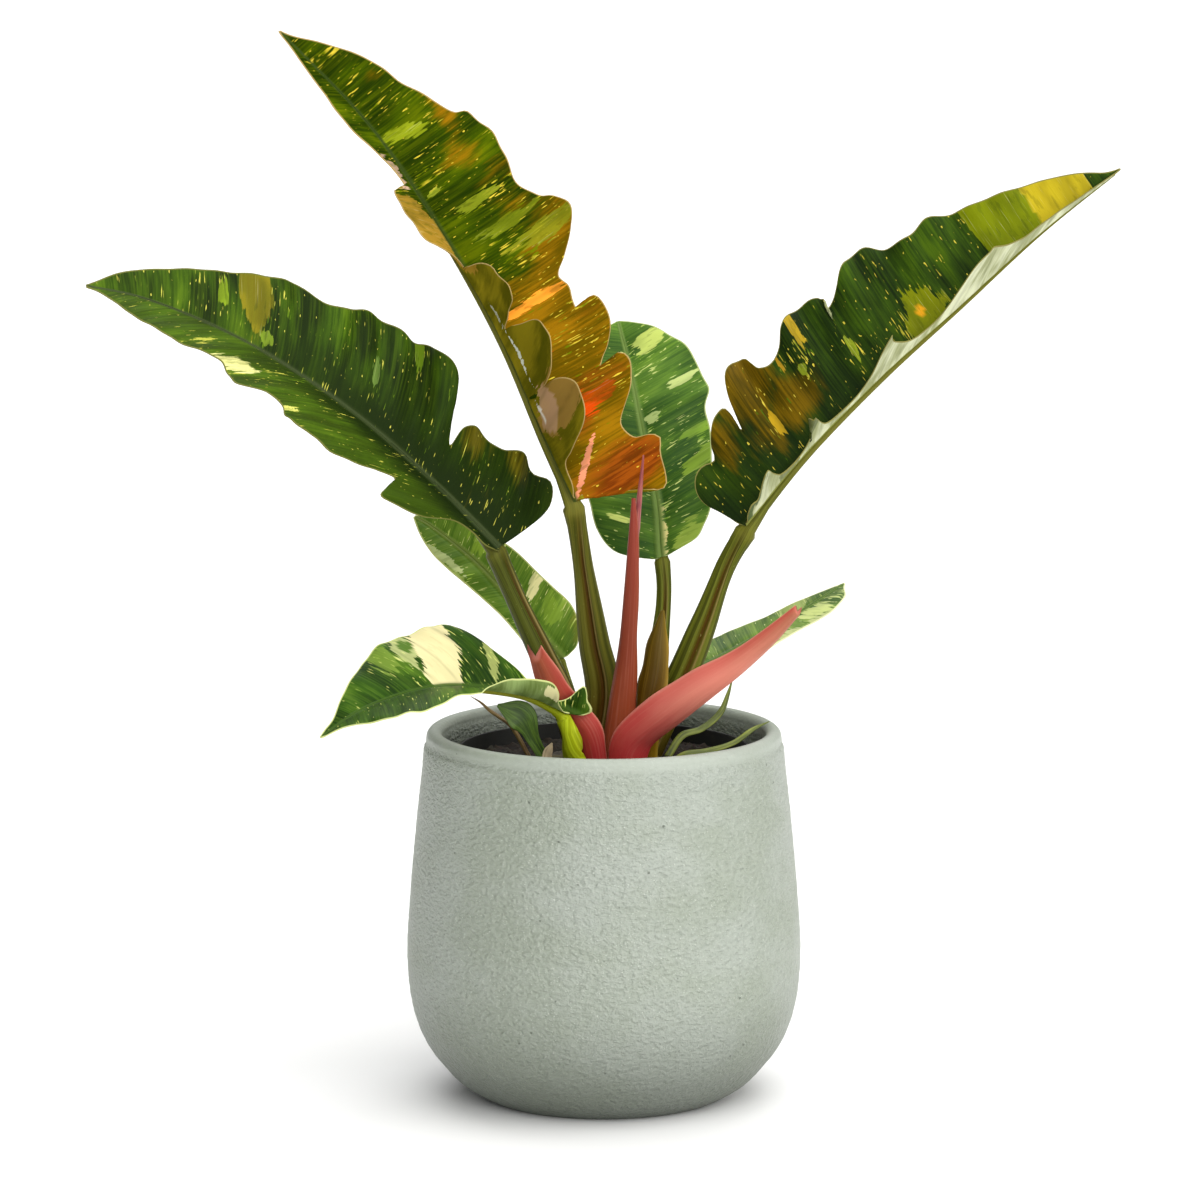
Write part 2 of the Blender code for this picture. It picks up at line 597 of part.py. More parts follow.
def add_new_leaf():
    """The next leaf, still rolled up inside the centre sheath."""
    path = smooth_path([foot_point(*NEW_LEAF_PATH[0]), *NEW_LEAF_PATH[1:]], STALK_RINGS)
    radii = spread(NEW_LEAF_RADII, STALK_RINGS)
    finish = material("new_leaf", (0.230, 0.040, 0.040), 0.4)
    section = round_section(ROUND_SIDES)
    add_sweep("new_leaf_roll", path, section, (radii, radii), (0.0, -1.0, 0.0), finish)


def main():
    clear_scene()
    add_outer_pot()
    add_nursery_pot()
    add_soil()
    add_crown()
    stalk_green = material("stalk_green", (0.110, 0.150, 0.030), 0.4)
    for name, leaf in LEAVES.items():
        add_blade("blade_" + name, leaf)
        add_stalk("stalk_" + name, leaf, stalk_green)
    for name, sheath in SHEATHS.items():
        add_sheath(name, sheath)
    for name, strap in STRAPS.items():
        add_strap(name, strap)
    add_new_leaf()


main()
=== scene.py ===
"""Potted philodendron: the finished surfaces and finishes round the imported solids.

Every shape is a surface worked out on a grid of two parameters, or a profile
carried along a path. Shape numbers are millimetres and degrees; the meshes are
made in metres, +Z up, with the origin at the centre of the pot's foot.
"""

import math

import bpy
import numpy as np
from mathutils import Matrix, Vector


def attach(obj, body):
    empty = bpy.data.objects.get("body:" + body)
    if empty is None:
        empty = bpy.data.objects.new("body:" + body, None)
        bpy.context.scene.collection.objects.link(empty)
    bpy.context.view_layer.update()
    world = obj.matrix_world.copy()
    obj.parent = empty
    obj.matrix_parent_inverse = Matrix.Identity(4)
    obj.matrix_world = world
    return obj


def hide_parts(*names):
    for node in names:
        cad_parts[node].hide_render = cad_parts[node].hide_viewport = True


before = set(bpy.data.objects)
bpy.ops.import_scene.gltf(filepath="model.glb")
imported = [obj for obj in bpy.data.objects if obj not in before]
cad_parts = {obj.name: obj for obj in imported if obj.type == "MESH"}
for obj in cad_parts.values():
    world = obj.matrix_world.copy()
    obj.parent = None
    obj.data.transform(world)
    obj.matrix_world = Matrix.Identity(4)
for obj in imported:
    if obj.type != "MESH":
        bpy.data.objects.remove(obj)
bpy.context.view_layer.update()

MM = 0.001

# ---------------------------------------------------------------- dimensions

# The pots, the potting mix and the crown. GAP is the clearance between them,
# ROOTED how deep a foot stands in the crown or the mix, POT_BELLY the outside
# of the glazed pot as (radius, height).
POT_HEIGHT = 152.5
POT_MOUTH_RADIUS = 72.6
POT_FOOT_RADIUS = 50.0
POT_WALL = 6.5
POT_FLOOR = 12.0
COLLAR_HEIGHT = 6.5
NURSERY_RADIUS = 60.0
NURSERY_FOOT_RADIUS = 44.0
NURSERY_HEIGHT = 132.0
NURSERY_WALL = 1.2
NURSERY_LIP = 2.0
NURSERY_LIP_DEPTH = 8.0
SOIL_TOP = 138.0
CROWN_RADIUS = 23.0
CROWN_TOP = 140.7
CROWN_DEPTH = 22.5
GAP = 0.3
ROOTED = 1.0
POT_BELLY = ((53.9, 2.5), (60.6, 7.0), (66.6, 13.5), (72.0, 20.5), (76.6, 30.0), (79.6, 42.0),
             (80.9, 60.0), (79.5, 85.0), (76.8, 115.0), (74.4, 137.0))

# The pot's hammered skin: size and height of a lump, distance between the rings
# and length of the turn that the lumps are drawn on.
LUMP_SIZE = 5.0
LUMP_HEIGHT = 0.06
RING_STEP = 1.3
POT_GIRTH = 500.0

# Leaf blades: how blunt the tip is, how side veins bend, half the blade's
# thickness, the ripple's and the cups' reach and power, the pleats, the midrib
# with its groove and valleys, and the least half width of a blade.
BLUNT_TIP = 0.6
VEIN_BEND = 0.002
HALF_THICKNESS = 0.34
RIPPLE_REACH = 40.0
RIPPLE_POWER = 1.6
CUP_REACH = 36.0
CUP_POWER = 1.7
PLEAT_SPACING = 14.0
PLEAT_HEIGHT = 0.5
CREASE_DEPTH = 0.12
CREASE_WIDTH = 0.07
RIB_HALF_WIDTH = 2.1
RIB_TIP_HALF_WIDTH = 0.2
RIB_HEIGHT = 0.55
RIB_GROOVE = 0.5
RIB_VALLEY = 0.35
NARROWEST = 0.3

# Patches: power of their rounded outline, least size that scales their field,
# its values far outside a patch and where only dashes gather, and the slant
# and strength that a plain patch's row leaves out.
PATCH_POWER = 1.7
FIELD_FLOOR = 3.6
FAR_OUTSIDE = -20.0
DASHES_ONLY = -3.0
PLAIN_PATCH = (0, 1)

# How finely the surfaces are divided. EVENNESS is the share of even steps among
# a blade's columns. HAMMERED_RINGS_ABOVE counts the rings of the neck and the
# rim that are hammered as fully as the belly.
EVENNESS = 0.10
ROW_POWER = 1.45
LAST_ROWS = (0.97, 0.992, 1.0)
MARGIN_SAMPLES = 2000
MIDRIB_SAMPLES = 401
TANGENT_REACH = 0.02
FLATTEST_CURL = 1e-5
BLADE_COLUMNS = 260
BLADE_ROWS = 24
POT_STEPS = 380
POT_RINGS = 120
NECK_RINGS = 18
POT_INNER_RINGS = 60
HAMMERED_RINGS_ABOVE = 30
NURSERY_STEPS = 128
SOIL_STEPS = 180
SOIL_RINGS = 34
CROWN_STEPS = 96
STALK_RINGS = 46
STALK_RIB_RINGS = 40
STALK_FADE_RINGS = 12
STALK_SIDES = 56
SHEATH_RINGS = 60
SHEATH_ARC = 22
STRAP_RINGS = 48
STRAP_SIDES = 16
ROLL_RINGS = 60
ROLL_SIDES = 20

# Each leaf: midrib from stalk to tip; direction the upper face looks, by
# station; fold of each half as (station, rise, curl per 10 mm); margin of each
# half laid flat as (along the midrib, out from it); stalk path and widths.
LEAVES = {
    "left": dict(
        midrib=((-43, -4, 228), (-67, -14, 254), (-100, -25, 285), (-142, -37, 315), (-182, -48, 334),
            (-205, -55, 340)),
        facing=((0.0, -0.05, -0.72, 0.7), (0.5, -0.1, -0.72, 0.69), (1.0, -0.1, -0.8, 0.6)),
        left_fold=((0.0, 24, -2), (0.5, 28, -2), (1.0, 20, -2)),
        right_fold=((0.0, 8, -3), (0.5, 10, -4), (1.0, 6, -2)),
        left=((-1, 2), (7, 6), (14, 6), (24, 9), (40, 23), (51, 28), (60, 29), (57, 17), (66, 21), (80, 29),
            (102, 31), (112, 32), (117, 24), (124, 24), (139, 28), (147, 20), (168, 18), (188, 12),
            (202, 2)),
        right=((-1, 2), (-6, 16), (-9, 31), (-4, 40), (4, 37), (16, 38), (23, 33), (28, 32), (36, 33),
            (42, 28), (43, 17), (48, 25), (57, 45), (66, 51), (72, 47), (78, 43), (90, 44), (99, 44),
            (108, 36), (118, 34), (127, 36), (136, 32), (150, 27), (164, 21), (184, 13), (195, 8),
            (203, 3)),
        stalk=((-10, -2), (-16, -1, 164), (-24.5, 0, 182), (-33, 0, 200), (-39.5, -1, 215)),
        stalk_width=(10.0, 11.8, 11.0, 9.0)),
    "top": dict(
        midrib=((-12, -4, 246), (-24, 1, 271), (-42, 12, 311), (-67, 26, 354), (-96, 42, 395),
            (-134, 62, 433)),
        facing=((0.0, 0.25, -0.9, 0.35), (0.5, 0.2, -0.9, 0.4), (1.0, 0.15, -0.9, 0.4)),
        left_fold=((0.0, 92, 0), (0.2, 90, 0), (0.4, 86, 0), (0.5, 62, 0), (0.6, 52, 0), (1.0, 50, 0)),
        right_fold=((0.0, 10, -3), (0.5, 8, -4), (1.0, 4, -3)),
        left=((2, 3), (8, 8), (13, 9), (16, 12), (18, 22), (21, 34.5), (23, 44), (25.6, 51.5), (29, 55.5),
            (33, 57), (38, 55.5), (42.5, 51), (44.2, 44), (43.8, 29), (43.5, 13), (44.6, 20), (45.2, 30),
            (46.6, 42), (49.2, 52), (53.3, 58), (58, 58.8), (63, 55.5), (67.5, 47), (70.2, 34.5),
            (72.2, 26), (73.8, 13), (75, 15), (75.4, 20), (76, 26), (77.3, 32), (77.7, 40), (78.6, 47),
            (82, 50), (87, 46), (92.7, 39), (98, 34), (102, 22), (104, 12), (107, 19), (113, 28), (121, 35),
            (130, 31.5), (140, 23), (145.5, 18.5), (146.5, 7), (156, 7.5), (164, 12), (174, 17), (188, 17),
            (208, 10), (226, 3)),
        right=((2, 4), (-5, 24), (-9.5, 38), (-5, 41), (3.6, 41), (10, 44.5), (12.5, 42), (14.5, 34.5),
            (21, 32.5), (29.5, 37.5), (38.5, 43.5), (46.5, 46), (51.5, 44.8), (50.8, 41.3), (46.5, 37.5),
            (41.5, 32), (41.2, 29.5), (45, 31), (51.5, 36.5), (56.5, 42), (63.5, 46), (70.5, 46.5),
            (74.5, 43.5), (74, 39), (71.8, 34.5), (75.5, 34), (82.5, 36.5), (87.5, 35), (94, 42), (102, 50),
            (111, 53), (117, 51), (120, 45), (131, 40), (142, 41), (154, 42), (163, 39), (165, 33),
            (172, 29), (186, 23), (196, 21), (208, 16), (221, 9), (230, 3)),
        stalk=((-4, 12), (-0.5, 12, 166), (-4, 11, 186), (-8, 7, 215), (-11, 2, 236)),
        stalk_width=(12.0, 14.5, 12.0, 8.2)),
    "right": dict(
        midrib=((58, 0, 236), (80, 8, 262), (113, 21, 294), (146, 35, 322), (180, 49, 351), (214, 63, 376)),
        facing=((0.0, -0.35, -0.85, 0.35), (0.5, -0.3, -0.85, 0.42), (1.0, -0.25, -0.85, 0.42)),
        left_fold=((0.0, 12, -4), (0.5, 10, -4), (1.0, 4, -3)),
        right_fold=((0.0, 84, 0), (0.5, 80, 0), (1.0, 76, 0)),
        left=((-1, 2), (-2, 12), (-3, 20), (-1, 26), (4, 30.5), (10, 31.5), (14.4, 29), (18.5, 34),
            (23, 37.5), (28, 40), (32.5, 40), (32.5, 36), (30.5, 30), (29.8, 26.5), (33, 33), (38, 43),
            (44.4, 51), (50, 54), (54, 52.5), (54, 47), (54, 42), (57, 38.7), (64.6, 40.4), (72, 46),
            (80, 49.8), (88.7, 49), (92.5, 45.5), (91, 41), (91, 39.5), (95, 40.5), (100, 43), (110, 49),
            (121, 50), (127, 43), (136, 38), (148, 39), (158, 33), (170, 27), (185, 21), (197, 15),
            (208, 8), (214, 3)),
        right=((1, 3), (4, 9), (7, 12), (10, 10), (13, 14), (17, 21), (20, 24), (22, 15), (25, 7),
            (30, 4.5), (37, 5), (42, 9), (44.5, 22), (46, 31), (48.5, 20), (52, 9), (60, 5.5), (70, 6),
            (78, 12), (85, 26), (89.5, 36), (91, 26), (97, 15), (105, 9), (115, 9), (121, 14), (128, 23),
            (135, 31), (143, 34), (152, 25), (160, 18), (172, 13), (184, 10), (196, 7), (210, 3)),
        stalk=((18, 7), (26, 7, 160), (33, 7, 175), (41, 7, 195), (50, 6, 219)),
        stalk_width=(11.0, 13.0, 11.8, 8.4)),
    "back": dict(
        midrib=((24, 48, 216), (22, 57, 239), (16, 72, 266), (11, 86, 290), (6, 97, 309)),
        facing=((0.0, -0.1, -0.93, 0.3), (1.0, 0.0, -0.9, 0.4)),
        left_fold=((0.0, 14, -6), (1.0, 6, -6)),
        right_fold=((0.0, 12, -6), (1.0, 6, -5)),
        left=((-1, 2), (0, 9), (4, 20), (13, 26), (29, 28), (47, 29), (64, 29), (78, 26), (91, 22),
            (100, 15), (105, 6)),
        right=((0, 2), (3, 9), (7, 16), (12, 19), (18, 22), (32, 25), (49, 28), (61, 28), (69, 31),
            (78, 29), (88, 26), (95, 20), (101, 14), (105, 6)),
        stalk=((8, 17), (20, 25, 168), (24, 37, 190), (25, 45, 204)),
        stalk_width=(8.0, 9.0, 8.4, 6.4)),
    "rear_left": dict(
        midrib=((-18, 36, 175), (-35, 50, 193), (-52, 64, 210), (-73, 82, 224), (-80, 88, 227)),
        facing=((0.0, -0.2, -0.75, 0.6), (1.0, -0.2, -0.8, 0.5)),
        left_fold=((0.0, 20, -4), (1.0, 12, -4)),
        right_fold=((0.0, 10, -5), (1.0, 5, -4)),
        left=((0, 2), (4, 7), (13, 8), (30, 8), (47, 10), (62, 11), (75, 10), (88, 6), (95, 2)),
        right=((-1, 2), (0, 9), (9, 16), (16, 18), (27, 17), (38, 16), (50, 15), (62, 13), (75, 12),
            (88, 7), (95, 2)),
        stalk=((-12, 14), (-12, 16, 155), (-14, 24, 164)),
        stalk_width=(5.0, 5.0, 4.5, 3.5)),
    "low_left": dict(
        midrib=((-15, -30, 164), (-30, -40, 173), (-50, -51, 178), (-65, -60, 180), (-81, -69, 178),
            (-97, -78, 173), (-112, -86, 164)),
        facing=((0.0, -0.1, -0.45, 0.89), (0.5, -0.15, -0.4, 0.9), (1.0, -0.1, -0.35, 0.9)),
        left_fold=((0.0, 20, 20), (0.08, 10, 60), (0.3, 10, 55), (0.45, 22, -4), (1.0, 18, -4)),
        right_fold=((0.0, 78, -8), (0.05, 70, -8), (0.12, 34, -5), (0.5, 28, -6), (1.0, 14, -5)),
        left=((0, 2), (5, 4), (11, 8), (14.5, 12.5), (19, 15.5), (26, 15.5), (36, 14), (46, 15), (54, 19),
            (62, 23), (70, 25), (80, 27), (92, 25), (102, 16), (110, 5), (115, 2)),
        right=((0, 1.5), (-4, 1.5), (-7.5, 2.2), (-10.4, 4.9), (-8.5, 7), (-6, 8.2), (-4, 11), (-1.5, 13),
            (0.5, 10.5), (2, 7), (4.5, 4), (7, 2.8), (12, 4), (19, 6), (25, 12), (32, 20), (37, 28),
            (42, 34.5), (48, 37), (56, 34), (66, 31), (76, 28), (88, 20), (101, 10), (109, 4), (115, 2)),
        stalk=((-11, -18), (-12, -24.5, 147), (-13.5, -29, 155)),
        stalk_width=(9.5, 9.8, 9.2, 7.0)),
    "low_right": dict(
        midrib=((41, 30, 172), (59, 42, 180), (78, 53, 189), (101, 66, 202)),
        facing=((0.0, -0.2, -0.6, 0.78), (1.0, -0.2, -0.6, 0.78)),
        left_fold=((0.0, -8, -4), (1.0, -14, -4)),
        right_fold=((0.0, 20, -4), (1.0, 20, -4)),
        left=((0, 3), (3, 12), (10, 15), (18, 16), (29, 13.5), (41, 11), (52, 9.5), (63, 6), (73, 2)),
        right=((0, 3), (3, 14), (12, 16), (22, 13), (34, 12), (46, 12), (60, 13), (70, 9), (74, 3)),
        stalk=((15, 17), (21, 20, 153), (31, 25, 163)),
        stalk_width=(4.5, 5.0, 4.5, 3.5)),
}

# How each blade waves and is coloured. Half 1 is the left one, -1 the right.
# wave: height of the ripple at the left and right margin, and its length.
# sweep: how far the side veins of the left and right half lean to the tip;
# leans: the same for the sheet's columns, where it differs. rib: width of the
# midrib against the usual one. cups: (half, place along the vein roots, reach,
# lift at the margin).
# deep, fresh, bright: greens from the shade to the streaks. dash: the dashes.
# rim: the margin. groove: the midrib above and below. under: the lower face.
# warm: two golds and two hot tones. base: how dark the leaf's foot is, partly its
# own green and partly painted shade. paler: how much lighter the left half is.
# spine: how dark it is beside the midrib's foot and at the lower face's foot,
# partly its own green and partly painted shade. sheen: specular level. dashes:
# how many. streaks: green in the patches.
# through: how far patches show on the lower face.
# patches: (half, from and to along the vein roots, from and to out along the
# veins, colour or None where only dashes gather, slant, strength); slant 0 and
# strength 1 are left out, and one below 0 tints the lower face alone.
# flush: (half, place along the roots, place out, reach along, reach out, share)
# of each warm area; a share above 1 turns it from gold to its hot tone.
USUAL_LOOK = dict(rib=1.0, paler=0.0, cups=(), flush=())
LOOKS = {
    "left": dict(
        wave=(1.6, 1.8, 31), sweep=(1.5, 0.2), leans=(0.45, 0.45), rib=0.7,
        deep="#1a2809", fresh="#3a560e", bright="#587416", dash="#d6cf56", rim="#6a6c34",
        groove=("#3d4829", "#4a5a2c"), under=("#43552a", "#6f8250"),
        warm=("#3c3a08", "#6c6414", "#5a3c0e", "#5a3c0e"),
        base=0.75, paler=0.22, spine=1.0, sheen=0.05, streaks=0.35, dashes=0.5, through=0.4,
        flush=((-1, 28.3, 29.8, 9, 12, 0.9), (-1, 5.7, 35.3, 9, 12, 0.8), (-1, 135, 20.5, 7, 22, 0.5),
            (-1, 14.7, 11.2, 24, 16, 0.3)),
        patches=((-1, 128.5, 142.5, 8, 37.2, "#7f7618"), (-1, 146.4, 150.9, 9.3, 22.3, "#839c22"),
            (-1, 127, 131.5, 3.7, 8.4, "#7f982a"), (1, 107.5, 122.2, 23.5, 39, "#dcd98c"),
            (-1, 59.3, 64.3, 34.4, 50.2, "#6a881a"), (-1, 77.7, 80.7, 15.8, 27, "#5f7a34"),
            (1, 73.6, 77.3, 39.4, 52.7, "#c9c864"), (1, 137.6, 140.6, 15.5, 25.5, "#aeb244"))),
    "top": dict(
        wave=(1.0, 2.0, 34), sweep=(0.02, 0.02), leans=(0.02, 0.35),
        cups=((1, 31, 11, 1.0), (1, 57, 11, 1.0), (1, 87, 12, 1.0)),
        deep="#1d2e04", fresh="#3b4f04", bright="#667206", dash="#dcc23a", rim="#a8905a",
        groove=("#39491d", "#4d5626"), under=("#5a560c", "#8a7c18"),
        warm=("#5c4804", "#92680a", "#6c3008", "#92480e"),
        base=0.0, spine=0.3, sheen=0.0, streaks=0.35, dashes=0.42, through=0.95,
        flush=((-1, 2, 26, 17, 40, 2.4), (-1, 30, 16, 16, 16, 2.0), (-1, 42, 30, 20, 44, 1.7),
            (-1, 68, 36, 26, 40, 1.4), (-1, 92, 46, 22, 24, 1.1), (-1, 84, 14, 14, 18, 0.8),
            (-1, 147, 24, 10, 16, 0.6), (-1, 165, 30, 14, 8, 0.7), (-1, 120, 36, 30, 16, 0.5),
            (-1, 190, 16, 14, 6, 0.4)),
        patches=((-1, 79, 83, 7, 35, "#ff9c30"), (-1, 29, 40.5, 14, 27, "#cc460a"),
            (-1, 32, 39, 25, 36, "#b4480c"), (-1, 165, 171, 1, 18, "#8c991a", -0.25, 0.9),
            (-1, 126, 130, 8, 29, "#8f9b22", 0, 0.9), (-1, 99, 106, 24, 54, "#80861a", 0, 0.75),
            (-1, 111, 115.5, 12, 42, "#7a8618", 0, 0.75), (-1, 64, 110, 0, 50, None),
            (-1, 176, 216, -2, 20, None), (-1, 148, 172, -6, 14, None), (-1, 139, 141, 2, 9, "#929e2a"),
            (-1, 8.4, 12.2, 1, 18, "#e8916c", 1.07), (1, 24, 43.5, 4, 66, "#a07a3c", 0, -0.75),
            (1, 28, 44, 6, 33, "#c89c78", 0.2, -0.75), (1, 98, 145.5, 0, 50, "#9c7a28"),
            # The pale patches from 51 to 72, 33 to 43 and 76 to 86 on the left half's lower face are painted
            # highlights.
            (1, 146, 160, 4, 14, "#c9a68c", 0, 0.9), (1, 51, 72, 12.5, 15.5, "#d9dccb", 0, -1),
            (1, 33, 43, 9, 12, "#e8e2d6", 0, -1), (1, 76, 86, 10, 13, "#a9aa94", 0, -1))),
    "right": dict(
        wave=(2.0, 1.2, 36), sweep=(0.15, 0.45), leans=(0.45, 0.45),
        cups=((-1, 16, 6, 2.0), (-1, 31, 7, -3.0), (-1, 44, 6, 3.0), (-1, 64, 10, -3.0), (-1, 84, 8, 3.0),
            (-1, 106, 9, -2.5), (-1, 132, 14, 2.0)),
        deep="#15230b", fresh="#304810", bright="#48620f", dash="#d6c244", rim="#7f7a42",
        groove=("#222e10", "#7f8440"), under=("#8f9468", "#cdd1ae"),
        warm=("#3e3404", "#6a5208", "#7a4a10", "#7a4a10"),
        base=0.55, spine=0.5, sheen=0.02, streaks=0.25, dashes=0.45, through=0.9,
        flush=((1, 34.6, 42.4, 14, 24, 1.2), (1, 48, 20.3, 16, 12, 1.0), (1, 15.3, 31.4, 8, 18, 0.8),
            (1, 31.5, 18.4, 14, 14, 0.7), (1, 54.2, 48, 9, 9, 0.4)),
        patches=((1, 176.5, 204.5, -55.3, 92.2, "#b8a420"), (1, 152.5, 178.5, -55.3, 92.2, "#747f0c"),
            (1, 104.9, 123.9, -7.4, 20.3, "#757c0e"), (1, 112, 116, 7.4, 12.9, "#d89a1c"),
            (1, 62.8, 66.8, 34.1, 51.6, "#b89a24"), (1, 79.7, 82.7, 12, 23.1, "#7f8c20"),
            (1, 36.1, 39.1, 12, 25.8, "#b8941e"), (1, 57.3, 60.3, 24, 28.6, "#7f8c20"),
            (1, 51.4, 53.4, 31.4, 42.4, "#a07e1c"), (-1, -6, 7, 0, 40, "#33461c", 0, 0.9),
            (-1, 22, 40, -4, 40, "#46501c", 0.3, 0.8))),
    "back": dict(
        wave=(1.4, 1.6, 30), sweep=(0.3, 0.3),
        deep="#2a4a16", fresh="#4f7424", bright="#789c34", dash="#cdd880", rim="#a9b478",
        groove=("#68803e", "#86985a"), under=("#6f8446", "#93a468"),
        warm=("#6b7f2a", "#8a9a3c", "#785a2f", "#785a2f"),
        base=0.2, spine=0.2, sheen=0.1, streaks=0.3, dashes=0.62, through=0.5,
        flush=((-1, 0, 30, 14, 14, 0.5),),
        patches=((-1, 86, 97, 4, 17, "#b6c562"), (-1, 66.5, 70, 12, 31, "#bccb7c"),
            (-1, 57, 61, 3, 9, "#b2c27a"), (-1, 25, 34, 16, 34, "#88a636"), (-1, -4, 9, 6, 22, "#88a03e"),
            (-1, 41, 45, 14, 30, "#7ea034"), (-1, -8, 20, -2, 3, "#d9cb84"), (1, 10, 13, 10, 22, "#c3d070"),
            (1, 30, 32, 6, 18, "#b9c870"))),
    "rear_left": dict(
        wave=(1.2, 1.2, 28), sweep=(0.4, 0.4),
        deep="#4a6a1a", fresh="#789a34", bright="#acc852", dash="#dfe08a", rim="#b6bc74",
        groove=("#6b7c36", "#7f9050"), under=("#7f9350", "#a2b070"),
        warm=("#79802a", "#9a9a3c", "#8a7a3a", "#8a7a3a"),
        base=0.0, spine=0.5, sheen=0.1, streaks=0.3, dashes=0.6, through=0.5,
        flush=((-1, 0, 16, 8, 9, 0.7),),
        patches=((-1, 25, 31, 5, 19, "#e6e0a0"), (-1, 10, 20, 6, 16, "#8aa834", 0, 0.6),
            (1, 52, 82, 7.5, 10.5, "#ccd694", 0, 0.9), (1, 40, 66, 10, 13, "#a9bb62", 0, 0.7),
            (-1, 52, 68, 4, 16, "#8fae34", 0, 0.6), (-1, 0, 60, 0, 20, None))),
    "low_left": dict(
        wave=(1.4, 1.4, 26), sweep=(0.35, 0.35),
        cups=((-1, 34, 10, -2.0),),
        deep="#173006", fresh="#375a12", bright="#628426", dash="#e4e67e", rim="#c3cb84",
        groove=("#3f5a1e", "#52702c"), under=("#5c6e34", "#8ba060"),
        warm=("#6f8228", "#8f9d44", "#8a8a3a", "#8a8a3a"),
        base=0.2, paler=0.1, spine=0.2, sheen=0.06, streaks=0.08, dashes=0.5, through=0.85,
        flush=((-1, 14, 14, 10, 16, 0.6),),
        patches=((-1, 42, 57, -40, 76, "#dcd29e", -0.49), (-1, 56, 63, 12, 34, "#c2c884", -0.4, 0.7),
            (-1, 54.5, 59.5, 21, 30, "#4f6f24", -0.4), (-1, 27, 31, 0, 32, "#b8c070", -0.45, 0.6),
            (-1, 14, 19, 4, 24, "#94aa48", -0.2, 0.8), (-1, 66, 74, 10, 30, "#86a040", -0.3, 0.5),
            (1, 8, 15, 9, 15, "#ddd6a0"), (-1, 78, 96, 0, 24, None), (-1, 10, 36, 0, 14, None))),
    "low_right": dict(
        wave=(1.0, 1.0, 26), sweep=(0.4, 0.4),
        deep="#3a5a1a", fresh="#6c8c30", bright="#9cb052", dash="#d6de94", rim="#d9dcae",
        groove=("#56702c", "#748a42"), under=("#7c8f4c", "#b4c088"),
        warm=("#8a9a40", "#a9b45c", "#a9a45c", "#a9a45c"),
        base=0.0, spine=0.0, sheen=0.12, streaks=0.2, dashes=0.6, through=0.4,
        patches=((-1, 4, 62, 10, 30, "#b6be80"), (1, 44, 58, 2, 20, "#a3b264", 0, 0.7),
            (-1, 48, 62, 2, 12, "#c4d080"))),
}

# Tones of the stalks; how far the joint below the blade swells and how deep the
# channel runs, in half widths; where the channelled face looks.
STALK_TONES = {"low_left": ("#8c960c", "#b0c024"), "rear_left": ("#4c5414", "#747c2a"),
               "top": ("#40420d", "#646320"), "left": ("#343808", "#4c5216")}
USUAL_STALK_TONES = ("#3c400a", "#62681e")
STALK_JOINTS = {"top": (0.12, 0.5), "right": (0.10, 0.5), "low_left": (0.0, 0.12)}
USUAL_STALK_JOINT = (0.06, 0.5)
STALK_BROWN = "#55340e"

# The rib under a blade: the station it ends at, half width against the
# stalk's by station, and how far it sinks into the blade.
RIB_END = 0.985
RIB_TAPER = ((0, 0.05, 0.2, 0.6, 1.0), (0.8, 0.54, 0.42, 0.28, 0.1))
RIB_SUNK = 0.4
STALK_UP = {"left": (0.75, -0.62, 0.3), "top": (-0.3, -1.0, 0.1), "right": (0.1, -1.0, 0.25),
            "back": (0.15, -1.0, 0.2), "rear_left": (0.2, -0.8, 0.5), "low_left": (0.0, -0.6, 0.8),
            "low_right": (-0.2, -0.6, 0.8)}

# Papery sheaths: path and widths, how far each wraps (degrees), where its back
# looks, how far its two edges run on past its middle, tones from foot to tip,
# tone and breadth of its edge where they differ.
SHEATH_WALL = 1.0
SHEATH_EDGE = "#e09a86"
SHEATHS = {
    "centre": dict(
        path=((6, -2), (7.4, -4, 160), (9.3, -6, 181), (11, -8, 207), (12, -9, 231), (12, -10, 249)),
        widths=(14.0, 12.0, 8.2, 6.4, 5.0, 1.6), wrap=230, back=(-0.25, -1.0, 0.0), horns=0.0,
        tones=("#94482a", "#7a3420", "#843428"), slot="sheath_pink"),
    "right": dict(
        path=((9, -14), (12.5, -17, 154), (25, -23, 167), (38, -30, 178), (52, -38, 187.5),
              (65.5, -46, 198.5), (77, -52, 210)),
        widths=(15.0, 18.5, 19.5, 18.0, 13.0, 8.5, 4.5), wrap=215, back=(0.2, -0.5, -0.8), horns=2.5,
        tones=("#bc3a3a", "#d47e6c", "#a46249"), slot="sheath_pink"),
    "left": dict(
        path=((-3, -15), (-6, -16, 155), (-14, -17, 166), (-21, -24, 177), (-27, -31, 189)),
        widths=(10.0, 13.5, 15.0, 13.0, 7.5), wrap=205, back=(-0.5, -0.7, -0.35), horns=6.0,
        tones=("#982a2a", "#a8483a", "#9e5038"), slot="sheath_pink"),
    "olive": dict(
        path=((18, -4), (19.5, -3, 165), (21.5, -1, 177), (22.5, 1, 189), (24, 2, 201)),
        widths=(8.0, 11.0, 13.0, 10.0, 1.4), wrap=170, back=(-0.3, -0.9, 0.0), horns=0.0,
        tones=("#7a5e0c", "#4a3603", "#54440a"), edge="#b59638", band=0.3, slot="sheath_olive"),
}

